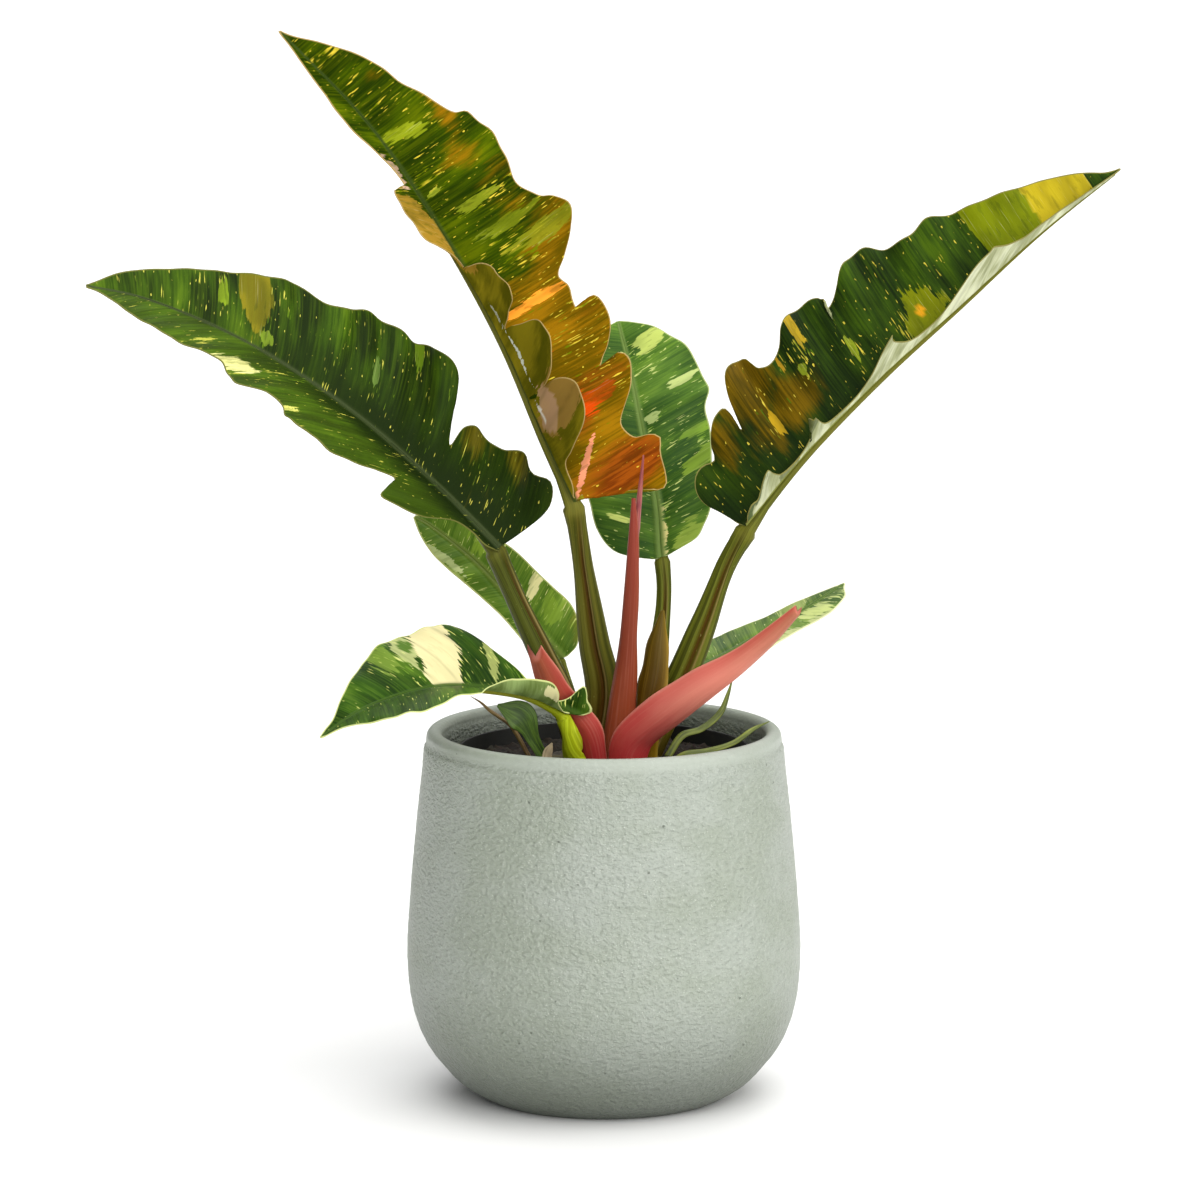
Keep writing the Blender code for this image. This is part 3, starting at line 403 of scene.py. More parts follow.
# Thin straps: path, width, thickness, where the flat side looks, two tones. One
# wider than KEELED_ABOVE has a low keel.
STRAP_TAPER = (1.0, 1.05, 0.95, 0.8, 0.15)
KEELED_ABOVE = 3.0
STRAPS = {
    "bract_green": dict(
        path=((-22, -24, 141), (-25, -27, 146), (-28.5, -30, 153), (-33, -33, 162.5), (-43, -34, 168)),
        width=11.0, taper=(0.45, 0.42, 0.6, 1.1, 0.12), thickness=1.4, flat=(0.0, -1.0, 0.3),
        tones=("#2e4416", "#547026"), slot="green_strap"),
    "dry_scale": dict(
        path=((-22, -33, 141), (-23, -34, 147), (-21, -37, 153)),
        width=4.2, thickness=0.9, flat=(0.0, -1.0, 0.2), tones=("#988464", "#d4c09c"), slot="dry_scale"),
    "strap_kinked": dict(
        path=((26, -4, 141), (32, 1, 149), (40, 6, 151), (48, 11, 157), (51, 13, 164), (53, 13, 171)),
        width=3.0, thickness=1.2, flat=(0.4, -0.5, 0.7), tones=("#434e14", "#727c2a"), slot="green_strap"),
    "strap_low": dict(
        path=((28, -14, 141), (33, -13, 144), (42, -9, 144.5), (53, -4, 147), (61, 2, 151.5), (68, 9, 153.5)),
        width=3.0, thickness=1.2, flat=(0.1, -0.5, 0.9), tones=("#4e5a18", "#828c34"), slot="green_strap"),
    "root_strand": dict(
        path=((-30, 1, 139), (-38, 6, 152), (-43, 11, 155), (-47, 15, 157), (-51, 18, 160), (-55, 20, 162)),
        width=1.8, thickness=1.8, flat=(0.5, -0.8, 0.0), tones=("#5d4420", "#8a7340"), slot="root"),
}

NEW_LEAF_PATH = ((7, 1), (7.5, -1, 165), (10, -3.5, 190), (12, -5.5, 222), (14, -6, 245), (16, -6, 266))
NEW_LEAF_RADII = (2.6, 2.6, 2.2, 1.9, 1.5, 0.35)

# Camera and lights, in metres, seen from the front of the plant. Each light:
# name, where it shines from, power, how wide it is in degrees, tint.
CAMERA_PLACE = (-0.0016, -2.4, 0.590)
CAMERA_AIM = (-0.0016, 0.0, 0.2055)
CAMERA_LENS = 178.65
FLOOR_REACH = 40.0
SURROUNDINGS = 0.24
LIGHTS = (("key", (0.68, -0.76, 0.80), 3.5, 95.0, (1.0, 0.99, 0.97)),
          ("fill", (-0.05, -1.0, 0.6), 0.5, 30.0, (0.98, 0.99, 1.0)),
          ("top", (0.0, 0.55, 1.0), 1.8, 60.0, (1.0, 1.0, 1.0)))


# ---------------------------------------------------------------- materials

# Setting with which Map Range rises smoothly, and spacing of pits in the glaze
# (6.7 mm) and of crumbs in the soil (2.4 mm), as numbers to the metre.
SMOOTH = {"interpolation_type": "SMOOTHSTEP"}
PITS_PER_METRE = 150.0
CRUMBS_PER_METRE = 420.0


def srgb(code):
    """Linear colour of an sRGB hex value."""
    part = np.array([int(code[k:k + 2], 16) for k in (1, 3, 5)]) / 255
    linear = np.where(part <= 0.04045, part / 12.92, ((part + 0.055) / 1.055) ** 2.4)
    return (*linear.tolist(), 1.0)


def add(tree, kind, inputs=(), out=0, **settings):
    """Adds one node. Inputs, by place or by name, are values, hex colours or other nodes' outputs."""
    node = tree.nodes.new("ShaderNode" + kind)
    for key, value in settings.items():
        setattr(node, key, value)
    for key, value in (inputs.items() if isinstance(inputs, dict) else enumerate(inputs)):
        if isinstance(value, bpy.types.NodeSocket):
            tree.links.new(value, node.inputs[key])
        else:
            node.inputs[key].default_value = srgb(value) if isinstance(value, str) else value
    return node.outputs[out]


def start_finish(name, roughness, ior=1.45, **sockets):
    """A new material and its node tree, with the values that are the same all over it."""
    made = bpy.data.materials.new(name)
    made.use_nodes = True
    shader = made.node_tree.nodes["Principled BSDF"]
    for key, value in dict(Roughness=roughness, IOR=ior, **sockets).items():
        shader.inputs[key.replace("_", " ")].default_value = value
    return made, made.node_tree


def end_finish(made, colour, height=None, distance=0.0002, strength=0.5, roughness=None):
    """Joins a colour to the shader, a roughness that varies, and a relief of a height in metres."""
    links, shader = made.node_tree.links, made.node_tree.nodes["Principled BSDF"]
    links.new(colour, shader.inputs["Base Color"])
    if roughness:
        links.new(roughness, shader.inputs["Roughness"])
    if height:
        relief = {"Height": height, "Distance": distance, "Strength": strength}
        links.new(add(made.node_tree, "Bump", relief), shader.inputs["Normal"])
    return made


def grain(tree, where, size, seed=0.0, detail=2.0, rough=0.5):
    """Noise whose cells measure size = (x, y, z) millimetres."""
    scale = [1000.0 / s for s in size]
    place = (seed, seed * 1.7, seed * 0.6)
    moved = add(tree, "Mapping", {"Vector": where, "Scale": scale, "Location": place})
    return add(tree, "TexNoise", {"Vector": moved, "Scale": 1.0, "Detail": detail, "Roughness": rough})


def weigh(tree, *parts, start=None):
    """Sum of (value, weight) pairs, each value times its weight, on top of start."""
    for value, weight in parts:
        if start is None:
            start = add(tree, "Math", (value, weight), operation="MULTIPLY")
        else:
            start = add(tree, "Math", (value, weight, start), operation="MULTIPLY_ADD")
    return start


def paint(tree, under, over, value, span=None, share=None):
    """Lays one colour over another by a value from 0 to 1, or as it passes through span, times share."""
    if span:
        value = add(tree, "MapRange", (value, *span), **SMOOTH)
    if share is not None:
        value = weigh(tree, (value, share))
    return add(tree, "Mix", {0: value, 6: under, 7: over}, 2, data_type="RGBA")


def leaf_finish(name, look, seed):
    """Semi-gloss waxy leaf: streaks and dashes run along the side veins.

    The map "veins" gives metres along the midrib to the vein's root and
    metres out along the vein, so a grain narrow across and long along it
    reads as the fine striping between veins.
    """
    made, tree = start_finish(name, 0.42, Specular_IOR_Level=look["sheen"])
    deep, bright, streaks = look["deep"], look["bright"], look["streaks"]
    veins = add(tree, "UVMap", uv_map="veins")
    value = {key: add(tree, "Attribute", out=2, attribute_name=key)
             for key in ("under", "rib", "edge", "crease", "pale", "flush")}
    patch = add(tree, "Attribute", attribute_name="patch")
    strength = add(tree, "Attribute", out=3, attribute_name="patch")

    broad = grain(tree, veins, (12, 34, 9), seed)
    comb = grain(tree, veins, (1.5, 16, 9), seed + 19, 3.0, 0.6)
    fine = grain(tree, veins, (0.8, 30, 9), seed + 3, 3.0)
    hair = grain(tree, veins, (0.45, 16, 9), seed + 5)
    area = weigh(tree, (comb, 0.34), start=broad)
    green = paint(tree, deep, look["fresh"], area, (0.52, 0.82))
    green = paint(tree, green, bright, area, (0.74, 0.90), 0.7)
    green = paint(tree, green, bright, fine, (0.4, 0.72), 0.28)
    green = paint(tree, green, deep, fine, (0.52, 0.3), 0.30)
    from_base = add(tree, "SeparateXYZ", {"Vector": veins})
    along_out = add(tree, "SeparateXYZ", {"Vector": veins}, 1)
    out = add(tree, "Math", {0: along_out}, operation="ABSOLUTE")
    # Darker at the leaf's foot and beside the midrib's foot: partly the leaf's own darker green, partly
    # painted shade.
    green = paint(tree, green, deep, from_base, (0.10, 0.0), look["base"])
    green = paint(tree, green, bright, along_out, (0.0, 0.004), look["paler"])
    near_foot = add(tree, "MapRange", (from_base, 0.17, 0.07), **SMOOTH)
    near_rib = add(tree, "MapRange", (weigh(tree, (comb, 0.012), start=out), 0.034, 0.012), **SMOOTH)
    green = paint(tree, green, deep, weigh(tree, (near_foot, near_rib)), share=look["spine"])

    # Warm areas run from dark gold to gold, then to the hot colour, in streaks.
    gold_low, gold_high, hot_low, hot_high = look["warm"]
    warm_grain = grain(tree, veins, (6, 26, 9), seed + 7, 3.0)
    warmth = weigh(tree, (warm_grain, 0.9), (comb, 0.7), start=value["flush"])
    gold = paint(tree, gold_low, gold_high, weigh(tree, (fine, 0.6), start=area), (0.8, 1.15))
    hot = paint(tree, hot_low, hot_high, weigh(tree, (fine, 0.5), start=comb), (0.62, 0.86))
    warm = paint(tree, gold, hot, warmth, (2.1, 3.0))
    colour = paint(tree, green, warm, warmth, (1.1, 1.6))

    # Pale dashes lie in drifts, thick near the patches and thin elsewhere.
    drift = grain(tree, veins, (13, 22, 9), seed + 11)
    dash = grain(tree, veins, (0.7, 7.0, 9), seed + 13, 1.0)
    near_patch = add(tree, "MapRange", (value["pale"], -9.0, -2.0), **SMOOTH)
    gathered = weigh(tree, (drift, 0.42), (near_patch, 0.075), start=dash)
    edge_at = 0.955 - 0.05 * look["dashes"]
    tint = paint(tree, bright, look["dash"], grain(tree, veins, (5, 9, 9), seed + 15), (0.42, 0.6))
    colour = paint(tree, colour, tint, gathered, (edge_at, edge_at + 0.05), 0.92)
    speck = grain(tree, veins, (0.9, 2.6, 9), seed + 17, 0.0)
    colour = paint(tree, colour, look["dash"], speck, (0.80, 0.825), 0.8)

    # Patches end in a ragged comb along the veins and hold streaks of green.
    sway = grain(tree, veins, (6, 12, 9), seed + 21, 2.0)
    ragged = weigh(tree, (value["pale"], 1.0), (sway, 6.0), (comb, 9.0), start=-7.1)
    inside = weigh(tree, (add(tree, "MapRange", (ragged, -0.25, 0.25), **SMOOTH), strength))
    fleck = grain(tree, veins, (1.8, 9, 9), seed + 23, 3.0)
    patch_tone = paint(tree, patch, green, fleck, (0.56, 0.62), streaks)
    patch_tone = paint(tree, patch_tone, "#f4e8a8", hair, (0.6, 0.8), 0.25)
    patch_tone = paint(tree, patch_tone, green, broad, (0.56, 0.42), streaks)
    colour = paint(tree, colour, patch_tone, inside)

    # The lower face, darker to its foot partly by painted shade; painted shade in the creases; the midrib and
    # the margin.
    dark_under, light_under = look["under"]
    below = paint(tree, dark_under, light_under, area, (0.52, 0.82))
    # The lower face darkens toward the foot: partly a greener tone, partly painted shade.
    below = paint(tree, below, dark_under, from_base, (0.13, 0.0), 0.5 * look["spine"])
    below = paint(tree, below, patch, inside, share=look["through"])
    colour = paint(tree, colour, below, value["under"])
    # Painted shade: the deep green laid in the creases along the side veins.
    colour = paint(tree, colour, deep, value["crease"], share=0.22)
    colour = paint(tree, colour, paint(tree, *look["groove"], value["under"]), value["rib"])
    colour = paint(tree, colour, look["rim"], value["edge"], (0.75, 0.35))
    gloss = weigh(tree, (value["under"], 0.06), (broad, 0.22), start=0.30)
    relief = weigh(tree, (hair, 0.5), (fine, 1.0))
    return end_finish(made, colour, relief, strength=0.55, roughness=gloss)


def stalk_finish(name, green, brown, seed):
    """Smooth waxy leaf stalk: lengthwise stripes, a red-brown channel with a pale line beside it."""
    made, tree = start_finish(name, 0.42, Specular_IOR_Level=0.1)
    length = add(tree, "UVMap", uv_map="length")
    value = {key: add(tree, "Attribute", out=2, attribute_name=key)
             for key in ("channel", "foot", "line", "joint", "rib")}
    fibre = grain(tree, length, (0.6, 60, 9), seed, 3.0)
    band = grain(tree, length, (2.6, 120, 9), seed + 3)
    tone = paint(tree, *green, weigh(tree, (band, 0.5), (fibre, 0.5)), (0.4, 0.62))
    tone = paint(tree, tone, brown, weigh(tree, (band, 0.5), start=value["foot"]), (0.6, 1.3), 0.6)
    tone = paint(tree, tone, brown, value["channel"], share=0.8)
    tone = paint(tree, tone, "#a8925a", value["line"], share=0.6)
    tone = paint(tree, tone, "#a7a860", grain(tree, length, (0.8, 2.5, 9), seed + 9), (0.72, 0.76), 0.4)
    tone = paint(tree, tone, "#858032", value["joint"], share=0.8)
    tone = paint(tree, tone, "#6c6a26", value["rib"], share=0.8)
    return end_finish(made, tone, fibre)


def sheath_finish(name, low, middle, high, seed, pale):
    """Satin papery sheath: colour runs up from the foot, with fine lengthwise veins."""
    made, tree = start_finish(name, 0.42, Specular_IOR_Level=0.15)
    length = add(tree, "UVMap", uv_map="length")
    climb, rim, flank = [add(tree, "Attribute", out=2, attribute_name=key)
                         for key in ("climb", "rim", "flank")]
    fibre = grain(tree, length, (0.7, 40, 9), seed, 3.0)
    cloud = grain(tree, length, (7, 26, 9), seed + 4, 3.0)
    rise = weigh(tree, (climb, 1.0), (cloud, 0.35), start=-0.17)
    tone = paint(tree, low, middle, rise, (0.05, 0.5))
    tone = paint(tree, tone, high, rise, (0.5, 1.0))
    # The flanks take the foot's tone: painted shade at the sides of the pink sheaths, and a gold edge on the
    # olive one.
    tone = paint(tree, tone, low, flank, (0.35, 0.85), 0.45)
    tone = paint(tree, tone, pale, fibre, (0.5, 0.72), 0.10)
    tone = paint(tree, tone, low, grain(tree, length, (1.1, 1.5, 9), seed + 9), (0.74, 0.78), 0.45)
    tone = paint(tree, tone, pale, rim, share=0.55)
    return end_finish(made, tone, fibre, strength=0.6)


def strap_finish(name, dark, light, rough, seed):
    """Fibrous strap: narrow lengthwise stripes of two tones."""
    made, tree = start_finish(name, rough)
    length = add(tree, "UVMap", uv_map="length")
    fibre = grain(tree, length, (0.7, 18, 9), seed, 3.0)
    cloud = grain(tree, length, (3, 8, 9), seed + 4)
    tone = paint(tree, dark, light, weigh(tree, (cloud, 0.4), (fibre, 0.6)), (0.38, 0.62))
    return end_finish(made, tone, fibre, 0.0003, 0.7)


def pot_finish():
    """Matt sage glaze over hammered clay: flat lumps about 2 mm wide, fine grit and small pits."""
    made, tree = start_finish("sage_hammered_glaze", 0.42, 1.5)
    place = add(tree, "TexCoord", out=3)
    height_up = add(tree, "SeparateXYZ", {"Vector": place}, 2)
    lump = grain(tree, place, (2.1, 2.1, 1.5), 1.0, 2.2)
    cloud = grain(tree, place, (45, 45, 30), 6.0, 3.0)
    grit = grain(tree, place, (0.75, 0.75, 0.6), 8.0, 1.0)
    tone = paint(tree, "#90988a", "#9aa197", cloud, (0.35, 0.65))
    tone = paint(tree, tone, "#b4b9b0", lump, (0.45, 0.75), 0.22)
    tone = paint(tree, tone, "#788073", lump, (0.48, 0.3), 0.22)
    tone = paint(tree, tone, "#cfd3c9", grit, (0.66, 0.76), 0.5)
    # Painted shade darkens the glaze toward the foot, and the rim lies smooth with a painted highlight that
    # makes it lighter.
    rim = add(tree, "MapRange", (height_up, 0.1455, 0.149), **SMOOTH)
    tone = paint(tree, tone, "#a0a79c", rim, share=0.6)
    tone = paint(tree, tone, "#42483d", height_up, (0.065, -0.012), 0.80)
    pits = add(tree, "TexVoronoi", {"Vector": place, "Scale": PITS_PER_METRE, "Randomness": 1.0})
    near_pit = add(tree, "MapRange", (pits, 0.085, 0.05), **SMOOTH)
    pitted = add(tree, "MapRange", (grain(tree, place, (9, 9, 9), 4.0), 0.53, 0.57), **SMOOTH)
    pit = weigh(tree, (near_pit, pitted))
    tone = paint(tree, tone, "#565c50", pit, share=0.6)
    gloss = weigh(tree, (lump, 0.25), start=0.30)
    height = weigh(tree, (pit, -0.5), (grit, 0.22), (lump, 1.0))
    height = weigh(tree, (height, weigh(tree, (rim, -0.8), start=1.0)))
    return end_finish(made, tone, height, 0.0015, 1.0, gloss)


def plastic_finish():
    """Moulded black polypropylene: faint flow streaks and a dusting of soil."""
    made, tree = start_finish("black_moulded_plastic", 0.45, 1.49, Specular_IOR_Level=0.2)
    dust = grain(tree, add(tree, "TexCoord", out=3), (5, 5, 5), 3.0, 4.0)
    tone = paint(tree, "#0f0f0b", "#2a241a", dust, (0.5, 0.75), 0.3)
    return end_finish(made, tone, dust, 0.0003, 0.4)


def soil_finish():
    """Peat and bark crumbs, damp and dark, with lighter fibre."""
    made, tree = start_finish("peat_and_bark", 0.9, 1.4)
    place = add(tree, "TexCoord", out=3)
    crumb = add(tree, "TexVoronoi", {"Vector": place, "Scale": CRUMBS_PER_METRE}, 1)
    cloud = grain(tree, place, (4, 4, 4), 2.0, 4.0)
    tone = paint(tree, "#120e08", "#2c2214", cloud)
    tone = add(tree, "Mix", {0: 0.25, 6: tone, 7: crumb}, 2, data_type="RGBA", blend_type="SOFT_LIGHT")
    return end_finish(made, tone, cloud, 0.002, 0.8)


def crown_finish():
    """Corky rootstock: greenish brown with darker leaf-scar rings."""
    made, tree = start_finish("corky_rootstock", 0.75)
    ring = grain(tree, add(tree, "TexCoord", out=3), (12, 12, 1.6), 5.0, 3.0)
    tone = paint(tree, "#2f2410", "#5d5424", ring, (0.38, 0.62))
    return end_finish(made, tone, ring, 0.001, 0.8)


# ------------------------------------------------------------------- meshes

def put_mesh(name, points, faces, finish, nodes, uv=None, floats=None, colours=None):
    """Makes a smooth mesh object from points in millimetres, riding on the root body."""
    mesh = bpy.data.meshes.new(name)
    mesh.from_pydata((np.asarray(points, float) * MM).tolist(), [], faces)
    mesh.materials.append(finish)
    corner = np.empty(len(mesh.loops), int)
    mesh.loops.foreach_get("vertex_index", corner)
    if uv is not None:
        layer = mesh.uv_layers.new(name=uv[0])
        layer.data.foreach_set("uv", (np.asarray(uv[1]) * MM)[corner].ravel())
    for key, values in (floats or {}).items():
        values = np.asarray(values, float).ravel()
        mesh.attributes.new(key, "FLOAT", "POINT").data.foreach_set("value", values)
    for key, values in (colours or {}).items():
        mesh.color_attributes.new(key, "FLOAT_COLOR", "POINT").data.foreach_set("color", values.ravel())
    mesh.shade_smooth()
    obj = bpy.data.objects.new(name, mesh)
    bpy.context.scene.collection.objects.link(obj)
    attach(obj, "root")
    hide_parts(*nodes)


def smooth_path(points, count):
    """Centripetal Catmull-Rom spline through the points, at even steps of its parameter."""
    knots = np.asarray(points, float)
    knots = np.vstack([2 * knots[0] - knots[1], knots, 2 * knots[-1] - knots[-2]])
    spans = np.maximum(np.linalg.norm(np.diff(knots, axis=0), axis=1) ** 0.5, 1e-9)
    clock = np.concatenate([[0.0], np.cumsum(spans)])
    at = np.linspace(clock[1], clock[-2], count)
    i = np.clip(np.searchsorted(clock, at, side="right") - 1, 1, len(knots) - 3)

    def mix(low, high, first, second):
        """The point between two, where the clock stands between low and high."""
        share = ((at - low) / (high - low))[:, None]
        return first * (1 - share) + second * share

    t0, t1, t2, t3 = clock[i - 1], clock[i], clock[i + 1], clock[i + 2]
    a1 = mix(t0, t1, knots[i - 1], knots[i])
    a2 = mix(t1, t2, knots[i], knots[i + 1])
    a3 = mix(t2, t3, knots[i + 1], knots[i + 2])
    return mix(t1, t2, mix(t0, t2, a1, a2), mix(t1, t3, a2, a3))


def walked(path):
    """Distance walked along a path to each of its points."""
    return np.concatenate([[0.0], np.cumsum(np.linalg.norm(np.diff(path, axis=0), axis=1))])


def even_path(points, count):
    """The same spline, at even distances along it."""
    dense = smooth_path(points, 40 * len(points))
    far = walked(dense)
    at = np.linspace(0.0, far[-1], count)
    return np.stack([np.interp(at, far, dense[:, k]) for k in range(dense.shape[1])], -1)


def spread(values, count):
    """Values given at even steps, read smoothly at more even steps."""
    return smooth_path(np.stack([np.linspace(0, 1, len(values)) * 1000, values], -1), count)[:, 1]


def unit(vectors):
    """Scales vectors to length one."""
    vectors = np.asarray(vectors, float)
    return vectors / np.maximum(np.linalg.norm(vectors, axis=-1, keepdims=True), 1e-12)


def bell(values, middle, width, power=2):
    """1 at the middle, falling to 1/e a width away."""
    return np.exp(-((values - middle) / width) ** power)


class Blade:
    """A leaf blade: a flat outline wrapped on a curved, folded surface."""

    def __init__(self, leaf):
        self.line = smooth_path(leaf["midrib"], MIDRIB_SAMPLES)
        self.distance = walked(self.line)
        self.length = self.distance[-1]
        self.facing = np.array(leaf["facing"], float)
        self.folds = {1: np.array(leaf["left_fold"], float), -1: np.array(leaf["right_fold"], float)}
        self.margins = {1: leaf["left"], -1: leaf["right"]}

    def on_line(self, along):
        """Point of the midrib at a distance along it."""
        return np.stack([np.interp(along, self.distance, self.line[:, k]) for k in range(3)], -1)

    def frame(self, along):
        """Midrib point, forward direction, upper-face normal and left direction."""
        inside = np.clip(along, 0.0, self.length)
        reach = TANGENT_REACH * self.length
        ahead = self.on_line(np.clip(inside + reach, 0.0, self.length))
        behind = self.on_line(np.clip(inside - reach, 0.0, self.length))
        forward = unit(ahead - behind)
        point = self.on_line(inside) + forward * (along - inside)[..., None]
        station = inside / self.length
        look = np.stack([np.interp(station, self.facing[:, 0], self.facing[:, k]) for k in (1, 2, 3)], -1)
        normal = unit(look - (look * forward).sum(-1, keepdims=True) * forward)
        return point, forward, normal, np.cross(normal, forward)

    def place(self, side, along, out):
        """Point of the folded blade for a flat place (along, out).

        Out from the midrib the surface starts at the rise angle and turns by
        the curl angle per 10 mm, so it is a circular arc across the leaf.
        """
        point, _, normal, left = self.frame(along)
        fold = self.folds[side]
        station = np.clip(along, 0.0, self.length) / self.length
        rise = np.radians(np.interp(station, fold[:, 0], fold[:, 1]))
        curl = np.radians(np.interp(station, fold[:, 0], fold[:, 2])) / 10.0
        curl = np.where(np.abs(curl) < FLATTEST_CURL, FLATTEST_CURL, curl)
        sideways = (np.sin(rise + curl * out) - np.sin(rise)) / curl
        upwards = (np.cos(rise) - np.cos(rise + curl * out)) / curl
        return point + side * sideways[..., None] * left + upwards[..., None] * normal

    def margin(self, side, lean):
        """Smooth margin laid flat at even distances, and the root each place leans back to."""
        points = even_path([*self.margins[side], (self.length, BLUNT_TIP)], MARGIN_SAMPLES)
        along, out = points[:, 0], np.maximum(points[:, 1], NARROWEST)
        return along, out, np.maximum.accumulate(np.clip(along - lean * out, 0.0, self.length))

    def sheet(self, columns, rows, leans):
        """Grid over the blade from left margin over midrib to right margin.

        Column k leaves the midrib at a root that both halves share and leans
        forward to the margin of each half. The roots of both margins are
        sorted together, so a lobe on one half does not pull at the other.
        Returns the points and, for each, its flat place, gap to the margin
        and half.
        """
        margins = {side: self.margin(side, lean) for side, lean in zip((1, -1), leans)}
        roots = np.concatenate([margins[1][2], margins[-1][2]])
        order = np.argsort(roots, kind="stable")
        passed = {1: np.cumsum(order < MARGIN_SAMPLES), -1: np.cumsum(order >= MARGIN_SAMPLES)}
        pick = np.linspace(0, len(order) - 1, columns)
        number = np.arange(len(order))
        even = np.linspace(0.0, 1.0, columns)
        root = (1 - EVENNESS) * np.interp(pick, number, roots[order]) + EVENNESS * self.length * even
        edges = {}
        for side, (along, out, _) in margins.items():
            place = np.interp(pick, number, passed[side]) / MARGIN_SAMPLES
            place = ((1 - EVENNESS) * place + EVENNESS * even) * (MARGIN_SAMPLES - 1)
            edges[side] = [np.interp(place, np.arange(MARGIN_SAMPLES), values) for values in (along, out)]
        inner = np.linspace(0.0, 1.0, rows - 1)[:-1] ** ROW_POWER * LAST_ROWS[0]
        share = np.concatenate([inner, LAST_ROWS])
        parts = {}
        for side, (along, out) in edges.items():
            flat_along = root[:, None] + (along - root)[:, None] * share
            flat_out = out[:, None] * share
            margin_gap = out[:, None] - flat_out
            parts[side] = (self.place(side, flat_along, flat_out), flat_along, flat_out, margin_gap)
        joined = [np.concatenate([left[:, :0:-1], right], axis=1) for left, right in zip(parts[1], parts[-1])]
        half = np.ones(joined[1].shape)
        half[:, rows + 1:] = -1.0
        return (*joined, half)


def sheet_normals(grid):
    """Unit normals of a grid of points, from the cross of its two directions."""
    down = np.gradient(grid, axis=0)
    across = np.gradient(grid, axis=1)
    return unit(np.cross(across, down))


def grid_faces(rows, columns):
    """Corner numbers of the squares of a grid of points."""
    first = (np.arange(rows - 1)[:, None] * columns + np.arange(columns - 1)).ravel()
    return np.stack([first, first + columns, first + columns + 1, first + 1], -1)


def sheet_faces(rows, columns):
    """Squares of a closed sheet: upper grid, lower grid turned over, and the rim strip."""
    upper = grid_faces(rows, columns)
    total = rows * columns
    number = np.arange(total).reshape(rows, columns)
    loop = np.concatenate([number[:, 0], number[-1, 1:], number[-2::-1, -1], number[0, -2:0:-1]])
    after = np.roll(loop, -1)
    strip = np.stack([after, loop, loop + total, after + total], -1)
    return np.concatenate([upper, upper[:, ::-1] + total, strip])


def ripple_height(look, root, out, half, seed):
    """Waves of a blade, taller to the margin, and its cups.

    Height = two sines along the vein roots * (out / RIPPLE_REACH) ** RIPPLE_POWER,
    plus for each cup a bell along the roots * (out / CUP_REACH) ** CUP_POWER.
    """
    left_tall, right_tall, long = look["wave"]
    turn = 2 * np.pi * root / long
    ripple = np.sin(turn + half * 0.9 + seed) + 0.45 * np.sin(2.3 * turn + 2.1 * half + 2 * seed)
    height = np.where(half > 0, left_tall, right_tall) * ripple * (out / RIPPLE_REACH) ** RIPPLE_POWER
    for side, at, wide, lift in look["cups"]:
        lift = np.where(half == side, lift, 0.0)
        height = height + lift * bell(root, at, wide) * (out / CUP_REACH) ** CUP_POWER
    return height


def pleats(root, out, gap, half, seed):
    """Height of the pleats between side veins, and how strong the crease on each vein is.

    Height = a raised cosine across each pleat, less a narrow bell on the vein;
    both fade to the midrib and to the margin.
    """
    phase = (root / PLEAT_SPACING + 0.5 * (half > 0) + 0.3 * np.sin(root * 0.11 + seed)) % 1.0
    crease = bell(phase, 0.5, CREASE_WIDTH)
    swell = 0.5 - 0.5 * np.cos(2 * np.pi * (phase - 0.5))
    fade = np.clip(out / 6.0, 0.0, 1.0) * np.clip(gap / 3.0, 0.0, 1.0)
    strength = 0.65 + 0.35 * np.sin(root * 0.13 + 2.0 * half + seed)
    return fade * strength * (PLEAT_HEIGHT * swell - CREASE_DEPTH * crease), crease * fade


def midrib(share, out, width_factor):
    """Height across the midrib, and the share of the surface that belongs to it.

    Height = a flat-topped ridge less a groove in its middle and a valley on
    either side of it; all of it thins out to the tip.
    """
    thin = 1.0 - 0.75 * np.clip(share, 0.0, 1.0)
    width = (RIB_HALF_WIDTH * thin + RIB_TIP_HALF_WIDTH) * width_factor
    ridge = bell(out, 0.0, width, 4)
    groove = bell(out, 0.0, 0.35 * width)
    valley = bell(out, 1.5 * width, 0.5 * width)
    return thin * (RIB_HEIGHT * ridge - RIB_GROOVE * groove - RIB_VALLEY * valley), ridge


def patch_field(look, root, reach, half):
    """How far inside a patch each place lies, in mm and below 0 outside, and the patch's tone.

    Field = (1 - distance from the patch's middle, in its half sizes, by the
    power PATCH_POWER) * its half width, which counts as no more than a quarter
    of its length and no less than FIELD_FLOOR.
    """
    pale = np.full(root.shape, FAR_OUTSIDE)
    tone = np.zeros((*root.shape, 4))
    tone[...] = srgb(look["dash"])
    for patch in look["patches"]:
        side, low, high, near, far, colour, slant, strength = (*patch, *PLAIN_PATCH[len(patch) - 6:])
        wide, deep = (high - low) / 2, (far - near) / 2
        beyond = reach - near - deep
        across = root - low - wide - slant * beyond
        away = (np.abs(across) / wide) ** PATCH_POWER + (np.abs(beyond) / deep) ** PATCH_POWER
        field = (1.0 - away ** (1 / PATCH_POWER)) * max(min(wide, 0.5 * deep), FIELD_FLOOR)
        field = np.where(half == side, field, FAR_OUTSIDE)
        if colour is None:
            field = np.minimum(field, DASHES_ONLY)
        else:
            tone[(field > pale) | (field > 0)] = (*srgb(colour)[:3], strength)
        pale = np.maximum(pale, field)
    return pale, tone


def flush_field(look, root, reach, half):
    """Share of the warm tones: the greatest of the bells round the flushed places."""
    flush = np.zeros(root.shape)
    for side, at, far, wide, deep, share in look["flush"]:
        spot = share * np.exp(-((root - at) / wide) ** 2 - ((reach - far) / deep) ** 2)
        flush = np.maximum(flush, np.where(half == side, spot, 0.0))
    return flush


